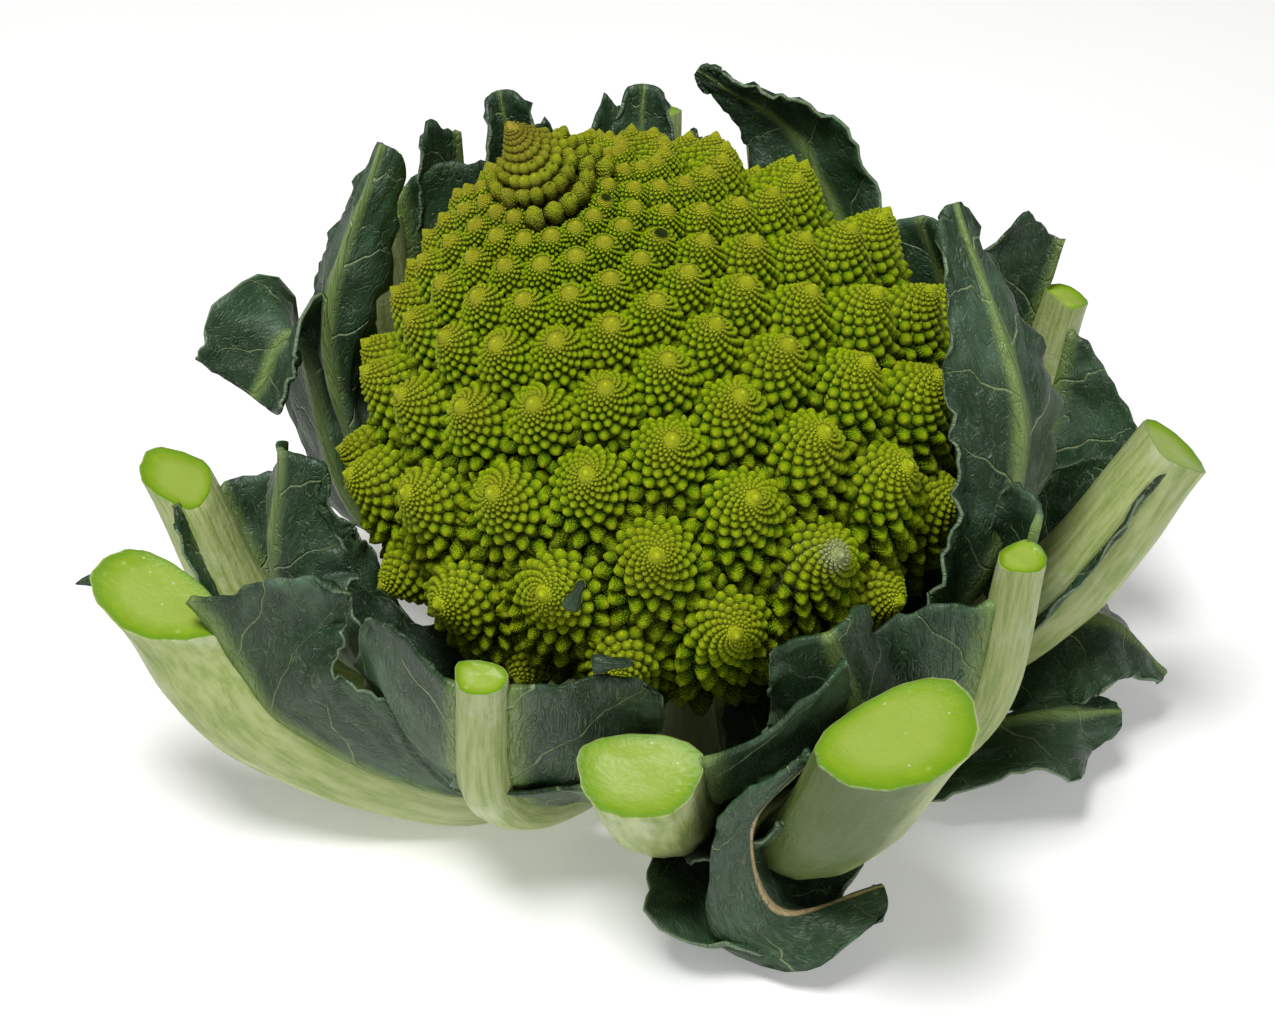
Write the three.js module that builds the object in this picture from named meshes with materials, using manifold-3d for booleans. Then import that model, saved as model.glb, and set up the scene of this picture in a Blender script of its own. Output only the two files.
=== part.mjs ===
// A romanesco head as cut for the market: a pointed curd of florets in one golden-angle spiral,
// a short stem with a flat cut, and trimmed leaves round it. Millimetres, +Z up.
// The origin is the middle of the stem's flat cut, which the head stands on. -Y is the front.
import * as THREE from "three";
import { ConvexGeometry } from "three/addons/geometries/ConvexGeometry.js";
import { mergeVertices } from "three/addons/utils/BufferGeometryUtils.js";
import Module from "manifold-3d";

const wasm = await Module();
wasm.setup();

const radians = THREE.MathUtils.degToRad;
const UP = new THREE.Vector3(0, 0, 1);

// The curd is a superellipsoid whose top is bent to the left. The tips of the florets lie on it.
const CURD_CENTRE = new THREE.Vector3(-10, 5, 80);
const CURD_BEND = new THREE.Vector3(-34, 12, 0); // how far the bend carries the curd's tip
const BEND_POWER = 3.2;
const SWELL = 0.3; // how much wider the curd is at the back right, above its middle
const SWELL_AT = radians(38);
const SWELL_SCALE = 6.75; // high ** 2 * (1 - high) times this is 1 where it is highest
const CURD_RADIUS = 78;
const CURD_HEIGHT = 84;
const CURD_DEPTH = 44;
const CONE_POWER = 1.15; // 1 is a straight cone at the tip, 2 is round
const SHOULDER_POWER = 1.8;
const TIP_DIP = 4.5; // how far the curd lies lower round its tip than the plain form
const DIP_AT = 14; // distance out from the axis at which it is lowest
const DIP_END = 48; // and at which it has ended
const PROFILE_STEPS = 200;
const PROFILE_END = radians(165); // how far down the profile is followed, as an angle from the tip

// The spiral of florets runs from under the curd's widest ring up to its tip.
const GOLDEN_ANGLE = radians(137.508);
const SPIRAL_START = 158; // from the tip to the lowest floret, along the surface
const FLORETS_PER_FOLD = [78, 66]; // florets while that way shrinks by a factor of e
const FEWER_FROM = 50; // up to this way it is the first of those two numbers
const FEWEST_FROM = 90; // and from this way on the second
const CELL_SHARE = 0.866; // area of a hexagonal cell, as a share of the square of its width
const LAST_FLORET = 13; // where the smooth tip takes over
const BUDS_FROM = 84; // the way from which florets are large enough for buds of their own
const HIDDEN_FROM = 132; // the way from which leaves hide the florets
const BUDS = 6;
const HIDDEN_BUDS = 4;
const BLUNT_FROM = 42; // the way from which florets without buds have a blunt tip
const FLORET_LENGTH = 0.96; // these two are shares of the distance between tips
const FLORET_RADIUS = 0.6;
const FLORET_POWER = 1.35; // 1 is a straight cone, 2 is round
const BLUNT_SHOULDER = { out: 0.5, high: 0.7 }; // these are shares of the radius and the length
const FLORET_FOOT = { out: 0.95, high: -0.4 };
const HOLLOWS_FROM = 0.08; // share of the length above which there are hollows between the buds
const BUD_HOLLOW = 0.13; // depth of the hollows between buds, as a share of their distance
const FIRST_BUD = 0.32; // how far out the first bud stands, as a share of the floret's radius
const BUD_SPACING = 0.8; // under 1 the buds stand closer towards the outside
const FLORET_LEAN = 0.28; // how far florets lean from the surface's normal to straight up

const CORE_DEPTH = 1.0; // under the florets' tips, as a share of the distance between tips
const CORE_SIDES = 18;
const CORE_WAYS = [130, 105, 84, 65, 48, 34, 23, 14, 8];
const NECK_RADIUS = 18;
const NECK_SHOULDER = { middle: new THREE.Vector3(-3, 1, 48), radius: 33 };

const STEM_RADIUS = 19;
const STEM_HEIGHT = 34;
const STEM_SIDES = 24;
const STEM_SKIRT = 17.5; // the radius at the flat cut

const BLADE_THICK = 1.2;
const GAP = 0.3; // between solids that touch
const RIB_CLEAR = 1.1; // from a rib to its blade, which a bent rib's facets take up
const CLEAR_OF_CURD = 3;
const NEAR_AXIS = 25; // leaves this close to the axis lie under the curd and stay as they are

const paint = (color, roughness) =>
  new THREE.MeshStandardMaterial({ color, roughness, metalness: 0 });
const FLORET_GREEN = paint(0x9cab1c, 0.55);
const STEM_PALE = paint(0xb9c48a, 0.6);
const RIB_PALE = paint(0xa3b765, 0.45);
const BLADE_GREEN = paint(0x33503c, 0.5);

// Leaves with a thick rib cut through. A path runs from the stem to the cut. face is the
// compass angle that the rib's round side looks at, from +X towards +Y. cw and ccw are the
// blade's two sides, as seen from above: from and to are its ends along the rib, rise is how
// much further its outer edge reaches, wide its width, fold and curl its bend to the curd in
// degrees at the rib and over the width, wave its depth, count and start. cut is the direction
// that a slanted cut face looks at.
const CUT_LEAVES = {
  left_big: {
    face: 226,
    path: [[-13, -15, 10.8], [-58, -39, 15.5], [-103, -38, 37], [-124, -31, 66]],
    rib: { wide: [12, 23, 24, 24], thick: [14, 21, 22, 21] },
    cut: [0.1, -0.2, 0.97],
    cw: {
      from: 0.8, to: 1.06, rise: 0.05, wide: [3, 8, 12],
      fold: [-20, -40], curl: [-30, -40], wave: [2, 2, 0.2],
    },
    ccw: {
      from: 0.3, to: 0.98, rise: -0.02, wide: [6, 26, 34, 39],
      fold: [40, 20], curl: [25, 25], wave: [2.5, 1.6, 0.3],
    },
  },
  left_upper: {
    face: 166,
    path: [[-17, -1, 22], [-66, -7, 14], [-107, 0, 27], [-127, 18, 59]],
    rib: { wide: [10, 19, 18, 17], thick: [12, 15, 15, 15] },
    cut: [0.1, -0.1, 0.98],
    cw: {
      from: 0.35, to: 0.96, rise: -0.02, wide: [8, 24, 28, 28],
      fold: [35, 45], curl: [30, 40], wave: [2, 1.5, 0],
    },
    ccw: {
      from: 0.45, to: 0.98, rise: -0.05, wide: [3, 6, 7, 6],
      fold: [10, 10], curl: [0, 0], wave: [0.4, 3, 0],
    },
  },
  back_left_low: {
    face: 133,
    path: [[-14, 12, 10], [-50, 46, 16], [-76, 66, 50], [-81, 73, 100]],
    rib: { wide: [10, 18, 17, 14], thick: [12, 14, 13, 11] },
    cw: {
      from: 0.35, to: 1.04, rise: 0.08, wide: [6, 22, 28, 27],
      fold: [20, 25], curl: [30, 30], wave: [2, 1.3, 0.5],
    },
    ccw: {
      from: 0.4, to: 0.98, rise: -0.02, wide: [4, 14, 15, 13],
      fold: [10, 10], curl: [20, 30], wave: [1, 2, 0],
    },
  },
  back_left: {
    face: 117,
    path: [[-7, 17, 22], [-30, 58, 15], [-50, 88, 52], [-54, 94, 98]],
    rib: { wide: [10, 18, 17, 14], thick: [12, 14, 13, 11] },
    cw: {
      from: 0.3, to: 1.08, rise: 0.06, wide: [6, 16, 20, 15],
      fold: [20, 20], curl: [30, 20], wave: [2, 1.4, 0],
    },
    ccw: {
      from: 0.45, to: 1.12, rise: 0.08, wide: [4, 14, 18, 16],
      fold: [10, 10], curl: [20, 30], wave: [1.5, 1.6, 0.3],
    },
  },
  back: {
    face: 93,
    path: [[0, 19, 10], [-5, 62, 16], [-10, 100, 54], [-10, 114, 108]],
    rib: { wide: [11, 19, 17, 14], thick: [13, 16, 14, 11] },
    cw: {
      from: 0.35, to: 0.95, rise: 0.04, wide: [5, 16, 16, 8],
      fold: [10, 10], curl: [30, 30], wave: [1.5, 1.6, 0],
    },
    ccw: {
      from: 0.35, to: 1.0, rise: 0.05, wide: [5, 18, 20, 12],
      fold: [10, 10], curl: [30, 30], wave: [1.5, 1.8, 0.5],
    },
  },
  back_right: {
    face: 76,
    path: [[7, 18, 22], [20, 60, 15], [27, 98, 50], [21, 112, 106]],
    rib: { wide: [10, 20, 18, 15], thick: [13, 16, 14, 11] },
    cw: {
      from: 0.35, to: 0.92, rise: 0.0, wide: [5, 20, 26, 14],
      fold: [10, 15], curl: [30, 30], wave: [2, 1.5, 0.1],
    },
    ccw: {
      from: 0.35, to: 0.88, rise: 0.0, wide: [4, 12, 12, 7],
      fold: [10, 10], curl: [20, 20], wave: [1.5, 1.5, 0.6],
    },
  },
  right_back: {
    face: 32,
    path: [[16, 9, 22], [58, 36, 18], [84, 50, 50], [93, 54, 90]],
    rib: { wide: [10, 17, 15, 12], thick: [12, 14, 12, 10] },
    cw: {
      from: 0.4, to: 0.96, rise: -0.12, wide: [6, 22, 36, 24],
      fold: [5, -20], curl: [10, -30], wave: [3, 1.7, 0.2],
    },
    ccw: {
      from: 0.4, to: 1.1, rise: 0.08, wide: [5, 16, 22, 20],
      fold: [30, 45], curl: [30, 40], wave: [2.5, 1.6, 0.7],
    },
  },
  right_big: {
    face: 352,
    path: [[18, -3, 10], [54, -8, 18], [85, -12, 53], [109, -5, 90]],
    rib: { wide: [12, 22, 22, 21], thick: [15, 19, 20, 18] },
    cw: {
      from: 0.35, to: 0.97, rise: -0.04, wide: [3, 5, 4, 2],
      fold: [10, 10], curl: [0, 0], wave: [0.4, 3, 0],
    },
    ccw: {
      from: 0.35, to: 0.9, rise: 0.0, wide: [5, 16, 16, 8],
      fold: [30, 30], curl: [30, 30], wave: [1.5, 1.5, 0.4],
    },
  },
  right_front: {
    face: 318,
    path: [[15, -11, 22], [45, -31, 14], [64, -48, 46], [69, -50, 94]],
    rib: { wide: [9, 15, 13, 12], thick: [12, 13, 11, 10] },
    cw: {
      from: 0.35, to: 0.93, rise: -0.03, wide: [6, 26, 38, 34],
      fold: [25, 35], curl: [30, 30], wave: [3, 1.5, 0],
    },
    ccw: {
      from: 0.5, to: 1.04, rise: 0.04, wide: [5, 12, 18, 16],
      fold: [10, 20], curl: [50, 120], wave: [1, 1, 0.3],
    },
  },
  front_right_big: {
    face: 306,
    path: [[8, -17, 10], [18, -50, 15.8], [29, -76, 42], [39, -87, 78]],
    rib: { wide: [13, 28, 34, 37], thick: [14, 20, 22, 24] },
    cut: [-0.05, -0.1, 1],
    cw: {
      from: 0.3, to: 0.75, rise: 0, wide: [8, 14, 8, 3],
      fold: [10, 10], curl: [-20, -20], wave: [0.5, 2, 0],
    },
    ccw: {
      from: 0.45, to: 1.0, rise: 0.0, wide: [4, 10, 11, 8],
      fold: [20, 20], curl: [20, 20], wave: [1.5, 2, 0.5],
    },
  },
  front: {
    face: 268,
    path: [[-1, -19, 22], [-4, -44, 14], [-10, -66, 34], [-14, -83, 63]],
    rib: { wide: [11, 22, 26, 27], thick: [14, 18, 20, 20] },
    cut: [0, -0.3, 0.95],
    cw: {
      from: 0.5, to: 0.8, rise: 0.02, wide: [24, 36, 34],
      fold: [0, -10], curl: [25, 20], wave: [2, 1, 0],
    },
    ccw: {
      from: 0.4, to: 0.98, rise: 0.3, wide: [8, 24, 36, 42],
      fold: [10, 5], curl: [30, 45], wave: [2.5, 1.4, 0.4],
    },
  },
  front_left: {
    face: 252,
    path: [[-9, -18, 10], [-33, -44, 14], [-48, -66, 38], [-48, -75, 82]],
    rib: { wide: [9, 14, 13, 11.5], thick: [12, 12, 11, 9] },
    cw: {
      from: 0.35, to: 0.94, rise: 0.1, wide: [8, 26, 32, 28],
      fold: [5, 10], curl: [20, 30], wave: [2, 1.2, 0.2],
    },
    ccw: {
      from: 0.4, to: 0.97, rise: 0.04, wide: [6, 24, 34, 37],
      fold: [10, 15], curl: [20, 30], wave: [2.5, 1.5, 0.6],
    },
  },
};

// Whole leaves with a thin rib, between the cut ones. wide holds half the width along the leaf,
// inner that of the ccw half where it differs, fold and curl bend the cw and ccw halves.
const WHOLE_LEAVES = {
  left_inner: {
    face: 205,
    path: [[-16, -8, 30], [-64, -24, 26], [-99, -20, 54], [-98, -7, 89]],
    wide: [6, 18, 24, 16], fold: [10, 20], curl: [30, 50], wave: [2, 1.5, 0.1],
  },
  left_tall: {
    face: 225,
    path: [[-18, 4, 30], [-72, 22, 40], [-91, 32, 90], [-75, 45, 140]],
    wide: [6, 17, 19, 6], fold: [20, 30], curl: [30, 60], wave: [1.5, 1.5, 0],
  },
  left_scroll: {
    face: 240,
    path: [[-15, 9, 30], [-82, 22, 40], [-99, 40, 86], [-110, 31, 75]],
    wide: [5, 15, 19, 17], fold: [10, 10], curl: [40, 60], wave: [1.5, 1.5, 0.4],
  },
  back_left_tip: {
    face: 105,
    path: [[-7, 16, 30], [-24, 66, 38], [-42, 94, 80], [-51, 106, 119]],
    wide: [5, 14, 17, 6], fold: [15, 20], curl: [20, 30], wave: [1.5, 1.5, 0.2],
  },
  back_tip: {
    face: 92,
    path: [[0, 18, 30], [-4, 66, 40], [-14, 92, 84], [-13, 106, 121]],
    wide: [5, 12, 15, 7], fold: [15, 20], curl: [20, 30], wave: [1.5, 1.5, 0.5],
  },
  back_right_tip: {
    face: 72,
    path: [[8, 16, 30], [46, 70, 56], [30, 93, 108], [1, 100, 129]],
    wide: [5, 16, 16, 4], fold: [10, 15], curl: [20, 20], wave: [1.5, 1.5, 0.7],
  },
  right_back_low: {
    face: 48,
    path: [[14, 11, 30], [52, 46, 34], [68, 66, 70], [58, 74, 101]],
    wide: [5, 16, 20, 14], fold: [10, 15], curl: [20, 30], wave: [2, 1.5, 0.3],
  },
  right_tall: {
    face: 302,
    path: [[18, -2, 30], [58, -34, 62], [71, -26, 108], [56, 6, 149]],
    wide: [6, 20, 19, 6], fold: [10, 15], curl: [20, 30], wave: [2, 1.4, 0],
  },
  right_low: {
    face: 350,
    path: [[18, 5, 10], [60, 4, 12], [98, -2, 32], [119, -6, 16]],
    wide: [4, 18, 25, 5], fold: [-10, -20], curl: [-10, -20], wave: [2, 1.8, 0.2],
  },
  right_front_low: {
    face: 330,
    path: [[14, -11, 10], [50, -27, 12], [82, -30, 24], [105, -22, 18]],
    wide: [4, 16, 19, 5], fold: [-10, -20], curl: [-10, -20], wave: [2.5, 1.8, 0.6],
  },
  front_right_collar: {
    face: 315,
    path: [[22.3, -89.6, 70], [10.6, -88.9, 48], [17.8, -87.5, 19], [41.8, -81.8, 21]],
    wide: [3, 8, 15, 7], inner: [3, 8, 14, 8], fold: [-30, -35], curl: [-20, -10], wave: [0, 1, 0],
  },
  front_skirt: {
    face: 290,
    path: [[0, -19, 7], [8, -52, 6], [16, -73, 8], [26, -88, 5]],
    wide: [6, 22, 32, 8], fold: [10, 15], curl: [15, 20], wave: [0.8, 1.6, 0.3],
  },
  front_inner: {
    face: 290,
    path: [[8, -16, 30], [20, -52, 24], [34, -70, 56], [26, -74, 92]],
    wide: [5, 14, 20, 14], fold: [15, 20], curl: [20, 40], wave: [2, 1.5, 0.5],
  },
};

const RIB_SIDES = 8;
const RIB_STEPS = 7;
const ROUND_SHARE = 0.68; // how much of a cut rib's thickness lies on its round side
const SLANT_FROM = 0.7; // share of the rib's length from which its rings tilt to a slanted cut
const CUT_BLADE_GRID = [5, 3];
const WHOLE_BLADE_GRID = [7, 2]; // along the leaf, and across each half
const WHOLE_RIB = 2.6; // thickness at the middle of a whole leaf
const WHOLE_RIB_REACH = 0.4; // share of the half width that the rib's swelling takes

const mix = (a, b, t) => a + (b - a) * t;

// The value at t of a list that is spread evenly from 0 to 1, eased between its entries.
function spread(list, t) {
  const at = THREE.MathUtils.clamp(t, 0, 1) * (list.length - 1);
  const i = Math.min(Math.floor(at), list.length - 2);
  const f = at - i;
  return mix(list[i], list[i + 1], f * f * (3 - 2 * f));
}

// A closed geometry as a solid that can be joined and cut, and back.
function solidOf(geometry) {
  const bare = geometry.clone();
  bare.deleteAttribute("normal");
  bare.deleteAttribute("uv");
  const merged = mergeVertices(bare, 1e-4);
  return new wasm.Manifold(
    new wasm.Mesh({
      numProp: 3,
      vertProperties: new Float32Array(merged.attributes.position.array),
      triVerts: new Uint32Array(merged.index.array),
    }),
  );
}

function geometryOf(solid) {
  const { vertProperties, triVerts } = solid.getMesh();
  return new THREE.BufferGeometry()
    .setAttribute("position", new THREE.BufferAttribute(new Float32Array(vertProperties), 3))
    .setIndex(new THREE.BufferAttribute(new Uint32Array(triVerts), 1));
}

function geometryFrom(points, corners) {
  return new THREE.BufferGeometry()
    .setAttribute("position", new THREE.Float32BufferAttribute(points.flatMap((p) => p.toArray()), 3))
    .setIndex(corners);
}

const largestBody = (solid) =>
  solid.decompose().reduce((best, body) => (body.volume() > best.volume() ? body : best));

// The curd's profile from its tip down, as distance out from the axis and up from the centre,
// with the way along the profile so far.
function curdProfile() {
  const rows = [];
  for (let i = 0; i <= PROFILE_STEPS; i++) {
    const angle = (PROFILE_END * i) / PROFILE_STEPS;
    const upper = angle <= Math.PI / 2;
    const out = CURD_RADIUS * Math.sin(angle) ** (upper ? 2 / CONE_POWER : 1);
    const dip = TIP_DIP * Math.min(out / DIP_AT, 1) * (1 - THREE.MathUtils.smoothstep(out, DIP_AT, DIP_END));
    const up = upper
      ? CURD_HEIGHT * Math.max(Math.cos(angle), 0) ** (2 / SHOULDER_POWER) - dip
      : CURD_DEPTH * Math.cos(angle);
    const before = rows[i - 1];
    const way = before ? before.way + Math.hypot(out - before.out, up - before.up) : 0;
    rows.push({ out, up, way });
  }
  return rows;
}

const PROFILE = curdProfile();

function onProfile(way) {
  const i = Math.min(Math.max(PROFILE.findIndex((row) => row.way > way), 1), PROFILE.length - 1);
  const [a, b] = [PROFILE[i - 1], PROFILE[i]];
  const f = (way - a.way) / (b.way - a.way);
  const slope = new THREE.Vector2(a.up - b.up, b.out - a.out).normalize();
  return { out: mix(a.out, b.out, f), up: mix(a.up, b.up, f), slope };
}

// One floret, tip up, from its own base at the origin: buds in a spiral of their own stand out
// of hollows that are sunk into the faces between them.
function floretSolid(length, radius, buds, turn, blunt) {
  const points = [new THREE.Vector3(0, 0, length)];
  const onFloret = (angle, out, height) => {
    const [x, y] = [Math.cos(angle) * radius * out, Math.sin(angle) * radius * out];
    points.push(new THREE.Vector3(x, y, height * length));
  };
  for (let k = 0; k < buds; k++) {
    const out = FIRST_BUD + (1 - FIRST_BUD) * (k / (buds - 1)) ** BUD_SPACING;
    onFloret(turn + k * GOLDEN_ANGLE, out, 1 - out ** FLORET_POWER);
  }
  if (blunt) {
    for (let k = 0; k < 4; k++) onFloret(turn + (k * Math.PI) / 2, BLUNT_SHOULDER.out, BLUNT_SHOULDER.high);
  }
  const sides = buds ? 5 : 4;
  for (let k = 0; k < sides; k++) {
    onFloret(turn + ((k + 0.5) * 2 * Math.PI) / sides, FLORET_FOOT.out, FLORET_FOOT.high);
  }
  const hull = new ConvexGeometry(points).getAttribute("position");
  const corners = [];
  for (let i = 0; i < hull.count; i += 3) {
    const [a, b, c] = [0, 1, 2].map((k) => new THREE.Vector3().fromBufferAttribute(hull, i + k));
    const middle = new THREE.Vector3().add(a).add(b).add(c).divideScalar(3);
    if (buds === 0 || middle.z < HOLLOWS_FROM * length) {
      corners.push(a, b, c);
      continue;
    }
    const inward = b.clone().sub(a).cross(c.clone().sub(a)).normalize().negate();
    const span = (a.distanceTo(b) + b.distanceTo(c) + c.distanceTo(a)) / 3;
    middle.addScaledVector(inward, BUD_HOLLOW * span);
    corners.push(a, b, middle, b, c, middle, c, a, middle);
  }
  return solidOf(geometryFrom(corners, corners.map((_, i) => i)));
}

function placed(solid, at, direction) {
  const turn = new THREE.Quaternion().setFromUnitVectors(UP, direction);
  return solid.transform(new THREE.Matrix4().compose(at, turn, new THREE.Vector3(1, 1, 1)).elements);
}

const floretsPerFold = (way) =>
  mix(...FLORETS_PER_FOLD, THREE.MathUtils.smoothstep(way, FEWER_FROM, FEWEST_FROM));

const tipDistance = (out, way) => Math.sqrt((2 * Math.PI * out * way) / (floretsPerFold(way) * CELL_SHARE));

// The middle of the curd's level ring at a height above its centre.
const middleAt = (up) =>
  CURD_CENTRE.clone()
    .addScaledVector(UP, up)
    .addScaledVector(CURD_BEND, (Math.max(up, 0) / CURD_HEIGHT) ** BEND_POWER);

// How much wider the curd is at a height and an angle round it.
function swellAt(up, angle) {
  const high = THREE.MathUtils.clamp(up / CURD_HEIGHT, 0, 1);
  return 1 + SWELL * SWELL_SCALE * high ** 2 * (1 - high) * ((1 + Math.cos(angle - SWELL_AT)) / 2) ** 2;
}

function floretSpiral() {
  const florets = [];
  let way = SPIRAL_START;
  for (let i = 0; way >= LAST_FLORET; i++) {
    const { out, up, slope } = onProfile(way);
    const [x, y] = [Math.cos(i * GOLDEN_ANGLE), Math.sin(i * GOLDEN_ANGLE)];
    const wide = out * swellAt(up, i * GOLDEN_ANGLE);
    const tip = middleAt(up).add(new THREE.Vector3(wide * x, wide * y, 0));
    const bend = middleAt(up + 1).sub(middleAt(up));
    const direction = new THREE.Vector3(slope.x * x, slope.x * y, slope.y);
    direction.z -= bend.x * direction.x + bend.y * direction.y;
    const apart = tipDistance(out, way) * Math.sqrt(direction.length());
    direction.normalize().addScaledVector(UP, FLORET_LEAN).normalize();
    florets.push({ i, way, tip, direction, apart });
    way *= Math.exp(-1 / floretsPerFold(way));
  }
  return florets;
}

const ringAt = (middle, radius, sides) =>
  Array.from({ length: sides }, (_, k) => {
    const angle = (k * 2 * Math.PI) / sides;
    const wide = radius * swellAt(middle.z - CURD_CENTRE.z, angle);
    return new THREE.Vector3(wide * Math.cos(angle), wide * Math.sin(angle), 0).add(middle);
  });

// The curd's core under the florets, from its tip down to a neck on the stem's top.
function coreSolid() {
  const neck = [
    ringAt(new THREE.Vector3(0, 0, STEM_HEIGHT + GAP), NECK_RADIUS, CORE_SIDES),
    ringAt(NECK_SHOULDER.middle, NECK_SHOULDER.radius, CORE_SIDES),
  ];
  const rings = CORE_WAYS.map((way) => {
    const { out, up, slope } = onProfile(way);
    const deep = CORE_DEPTH * tipDistance(out, way);
    return ringAt(middleAt(up - slope.y * deep), out - slope.x * deep, CORE_SIDES);
  });
  return solidOf(tubeGeometry([...neck, ...rings]));
}

function curdSolid() {
  const florets = floretSpiral().map(({ i, way, tip, direction, apart }) => {
    const buds = way > HIDDEN_FROM ? HIDDEN_BUDS : way > BUDS_FROM ? BUDS : 0;
    const length = apart * FLORET_LENGTH;
    const base = tip.clone().addScaledVector(direction, -length);
    const blunt = !buds && way > BLUNT_FROM;
    return placed(floretSolid(length, apart * FLORET_RADIUS, buds, i, blunt), base, direction);
  });
  const top = middleAt(CURD_HEIGHT - LAST_FLORET);
  const direction = middleAt(CURD_HEIGHT).sub(top).normalize();
  florets.push(placed(floretSolid(LAST_FLORET, LAST_FLORET, 0, 0, true), top, direction));
  return largestBody(wasm.Manifold.union([coreSolid(), ...florets]));
}

// A tapering stem with a flat cut, on which the head stands.
function stemSolid(extra) {
  const rows = [[STEM_SKIRT, 0], [STEM_RADIUS, 2], [STEM_RADIUS - 1, 16], [STEM_RADIUS - 0.5, STEM_HEIGHT]];
  const rings = rows.map(([radius, z]) => ringAt(new THREE.Vector3(0, 0, z), radius + extra, STEM_SIDES));
  return solidOf(tubeGeometry(rings));
}

// A leaf's own directions at t of its path: along it, out of its round side, and across it,
// counterclockwise as seen from above.
function pathOf(leaf) {
  const p = leaf.path.map((at) => new THREE.Vector3(...at));
  const before = p[0].clone().multiplyScalar(2).sub(p[1]);
  const after = p[3].clone().multiplyScalar(2).sub(p[2]);
  const all = [before, ...p, after];
  const face = new THREE.Vector3(Math.cos(radians(leaf.face)), Math.sin(radians(leaf.face)), 0);
  const side = new THREE.Vector3().crossVectors(UP, face);
  const point = (t) => {
    if (t > 1) {
      const end = point(1);
      return end.clone().addScaledVector(end.clone().sub(point(0.97)), (t - 1) / 0.03);
    }
    const at = Math.max(t, 0) * 3;
    const i = Math.min(Math.floor(at), 2);
    const f = at - i;
    const [a, b, c, d] = all.slice(i, i + 4);
    const ease = (x, y, z, w) =>
      0.5 * (2 * y + (z - x) * f + (2 * x - 5 * y + 4 * z - w) * f * f + (3 * y - x - 3 * z + w) * f * f * f);
    return new THREE.Vector3(ease(a.x, b.x, c.x, d.x), ease(a.y, b.y, c.y, d.y), ease(a.z, b.z, c.z, d.z));
  };
  return (t) => {
    const at = point(t);
    const along = point(t + 0.01).sub(point(t - 0.01 < 0 ? 0 : t - 0.01)).normalize();
    const across = side.clone().addScaledVector(along, -side.dot(along)).normalize();
    const out = across.clone().cross(along);
    return { at, along, across, out };
  };
}

// A point that lies in the curd's room, pushed out of it level, or the point as it is.
function keepOut(point, extra) {
  const up = point.z - CURD_CENTRE.z;
  const flat = point.clone().sub(middleAt(up));
  const out = flat.length();
  const swell = swellAt(up, Math.atan2(flat.y, flat.x));
  const high = up > 0 ? CURD_HEIGHT + extra : CURD_DEPTH + extra;
  const [p, q] = up > 0 ? [CONE_POWER, SHOULDER_POWER] : [2, 2];
  const reach = (out / (CURD_RADIUS * swell + extra)) ** p + (Math.abs(up) / high) ** q;
  if (reach >= 1 || out < NEAR_AXIS) return point;
  const room = (CURD_RADIUS * swell + extra) * (1 - (Math.abs(up) / high) ** q) ** (1 / p);
  return point.clone().addScaledVector(flat.normalize(), room - out);
}

// A closed tube round rings of equal count, its ends closed by fans.
function tubeGeometry(rings) {
  const sides = rings[0].length;
  const points = rings.flat();
  const corners = [];
  for (let i = 0; i + 1 < rings.length; i++) {
    for (let k = 0; k < sides; k++) {
      const [a, b] = [i * sides + k, i * sides + ((k + 1) % sides)];
      corners.push(a, b, b + sides, a, b + sides, a + sides);
    }
  }
  for (const [start, turned] of [[0, true], [(rings.length - 1) * sides, false]]) {
    const middle = points.length;
    const sum = new THREE.Vector3();
    for (let k = 0; k < sides; k++) sum.add(points[start + k]);
    points.push(sum.divideScalar(sides));
    for (let k = 0; k < sides; k++) {
      const [a, b] = [start + k, start + ((k + 1) % sides)];
      corners.push(...(turned ? [middle, b, a] : [middle, a, b]));
    }
  }
  return geometryFrom(points, corners);
}

// A cut rib: round and keeled outside, flatter inside. extra grows it on all sides.
function ribSolid(leaf, extra) {
  const frame = pathOf(leaf);
  const end = frame(1).along;
  const cut = leaf.cut ? new THREE.Vector3(...leaf.cut) : end;
  const rings = [];
  for (let i = 0; i <= RIB_STEPS; i++) {
    const t = i / RIB_STEPS;
    const slant = Math.max(0, (t - SLANT_FROM) / (1 - SLANT_FROM)) / end.dot(cut);
    const { at, along, across, out } = frame(t);
    at.addScaledVector(along, i === 0 ? -extra : i === RIB_STEPS ? extra : 0);
    const [wide, thick] = [spread(leaf.rib.wide, t) / 2, spread(leaf.rib.thick, t)];
    rings.push(
      Array.from({ length: RIB_SIDES }, (_, k) => {
        const angle = (k * 2 * Math.PI) / RIB_SIDES;
        const deep = thick * (Math.sin(angle) > 0 ? ROUND_SHARE : 1 - ROUND_SHARE) + extra;
        const offset = across.clone().multiplyScalar((wide + extra) * Math.cos(angle));
        offset.addScaledVector(out, deep * Math.sin(angle));
        return at.clone().add(offset).addScaledVector(along, -slant * (leaf.cut ? offset.dot(cut) : 0));
      }).reverse(),
    );
  }
  return solidOf(tubeGeometry(rings));
}

// The grid of points with its border moved outwards.
function widened(rows, extra) {
  const [n, m] = [rows.length, rows[0].length];
  const away = (p, q) => p.clone().sub(q).normalize().multiplyScalar(extra);
  return rows.map((row, i) =>
    row.map((p, j) => {
      const moved = p.clone();
      if (i === 0) moved.add(away(p, rows[1][j]));
      if (i === n - 1) moved.add(away(p, rows[n - 2][j]));
      if (j === 0) moved.add(away(p, row[1]));
      if (j === m - 1) moved.add(away(p, row[m - 2]));
      return moved;
    }),
  );
}

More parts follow.
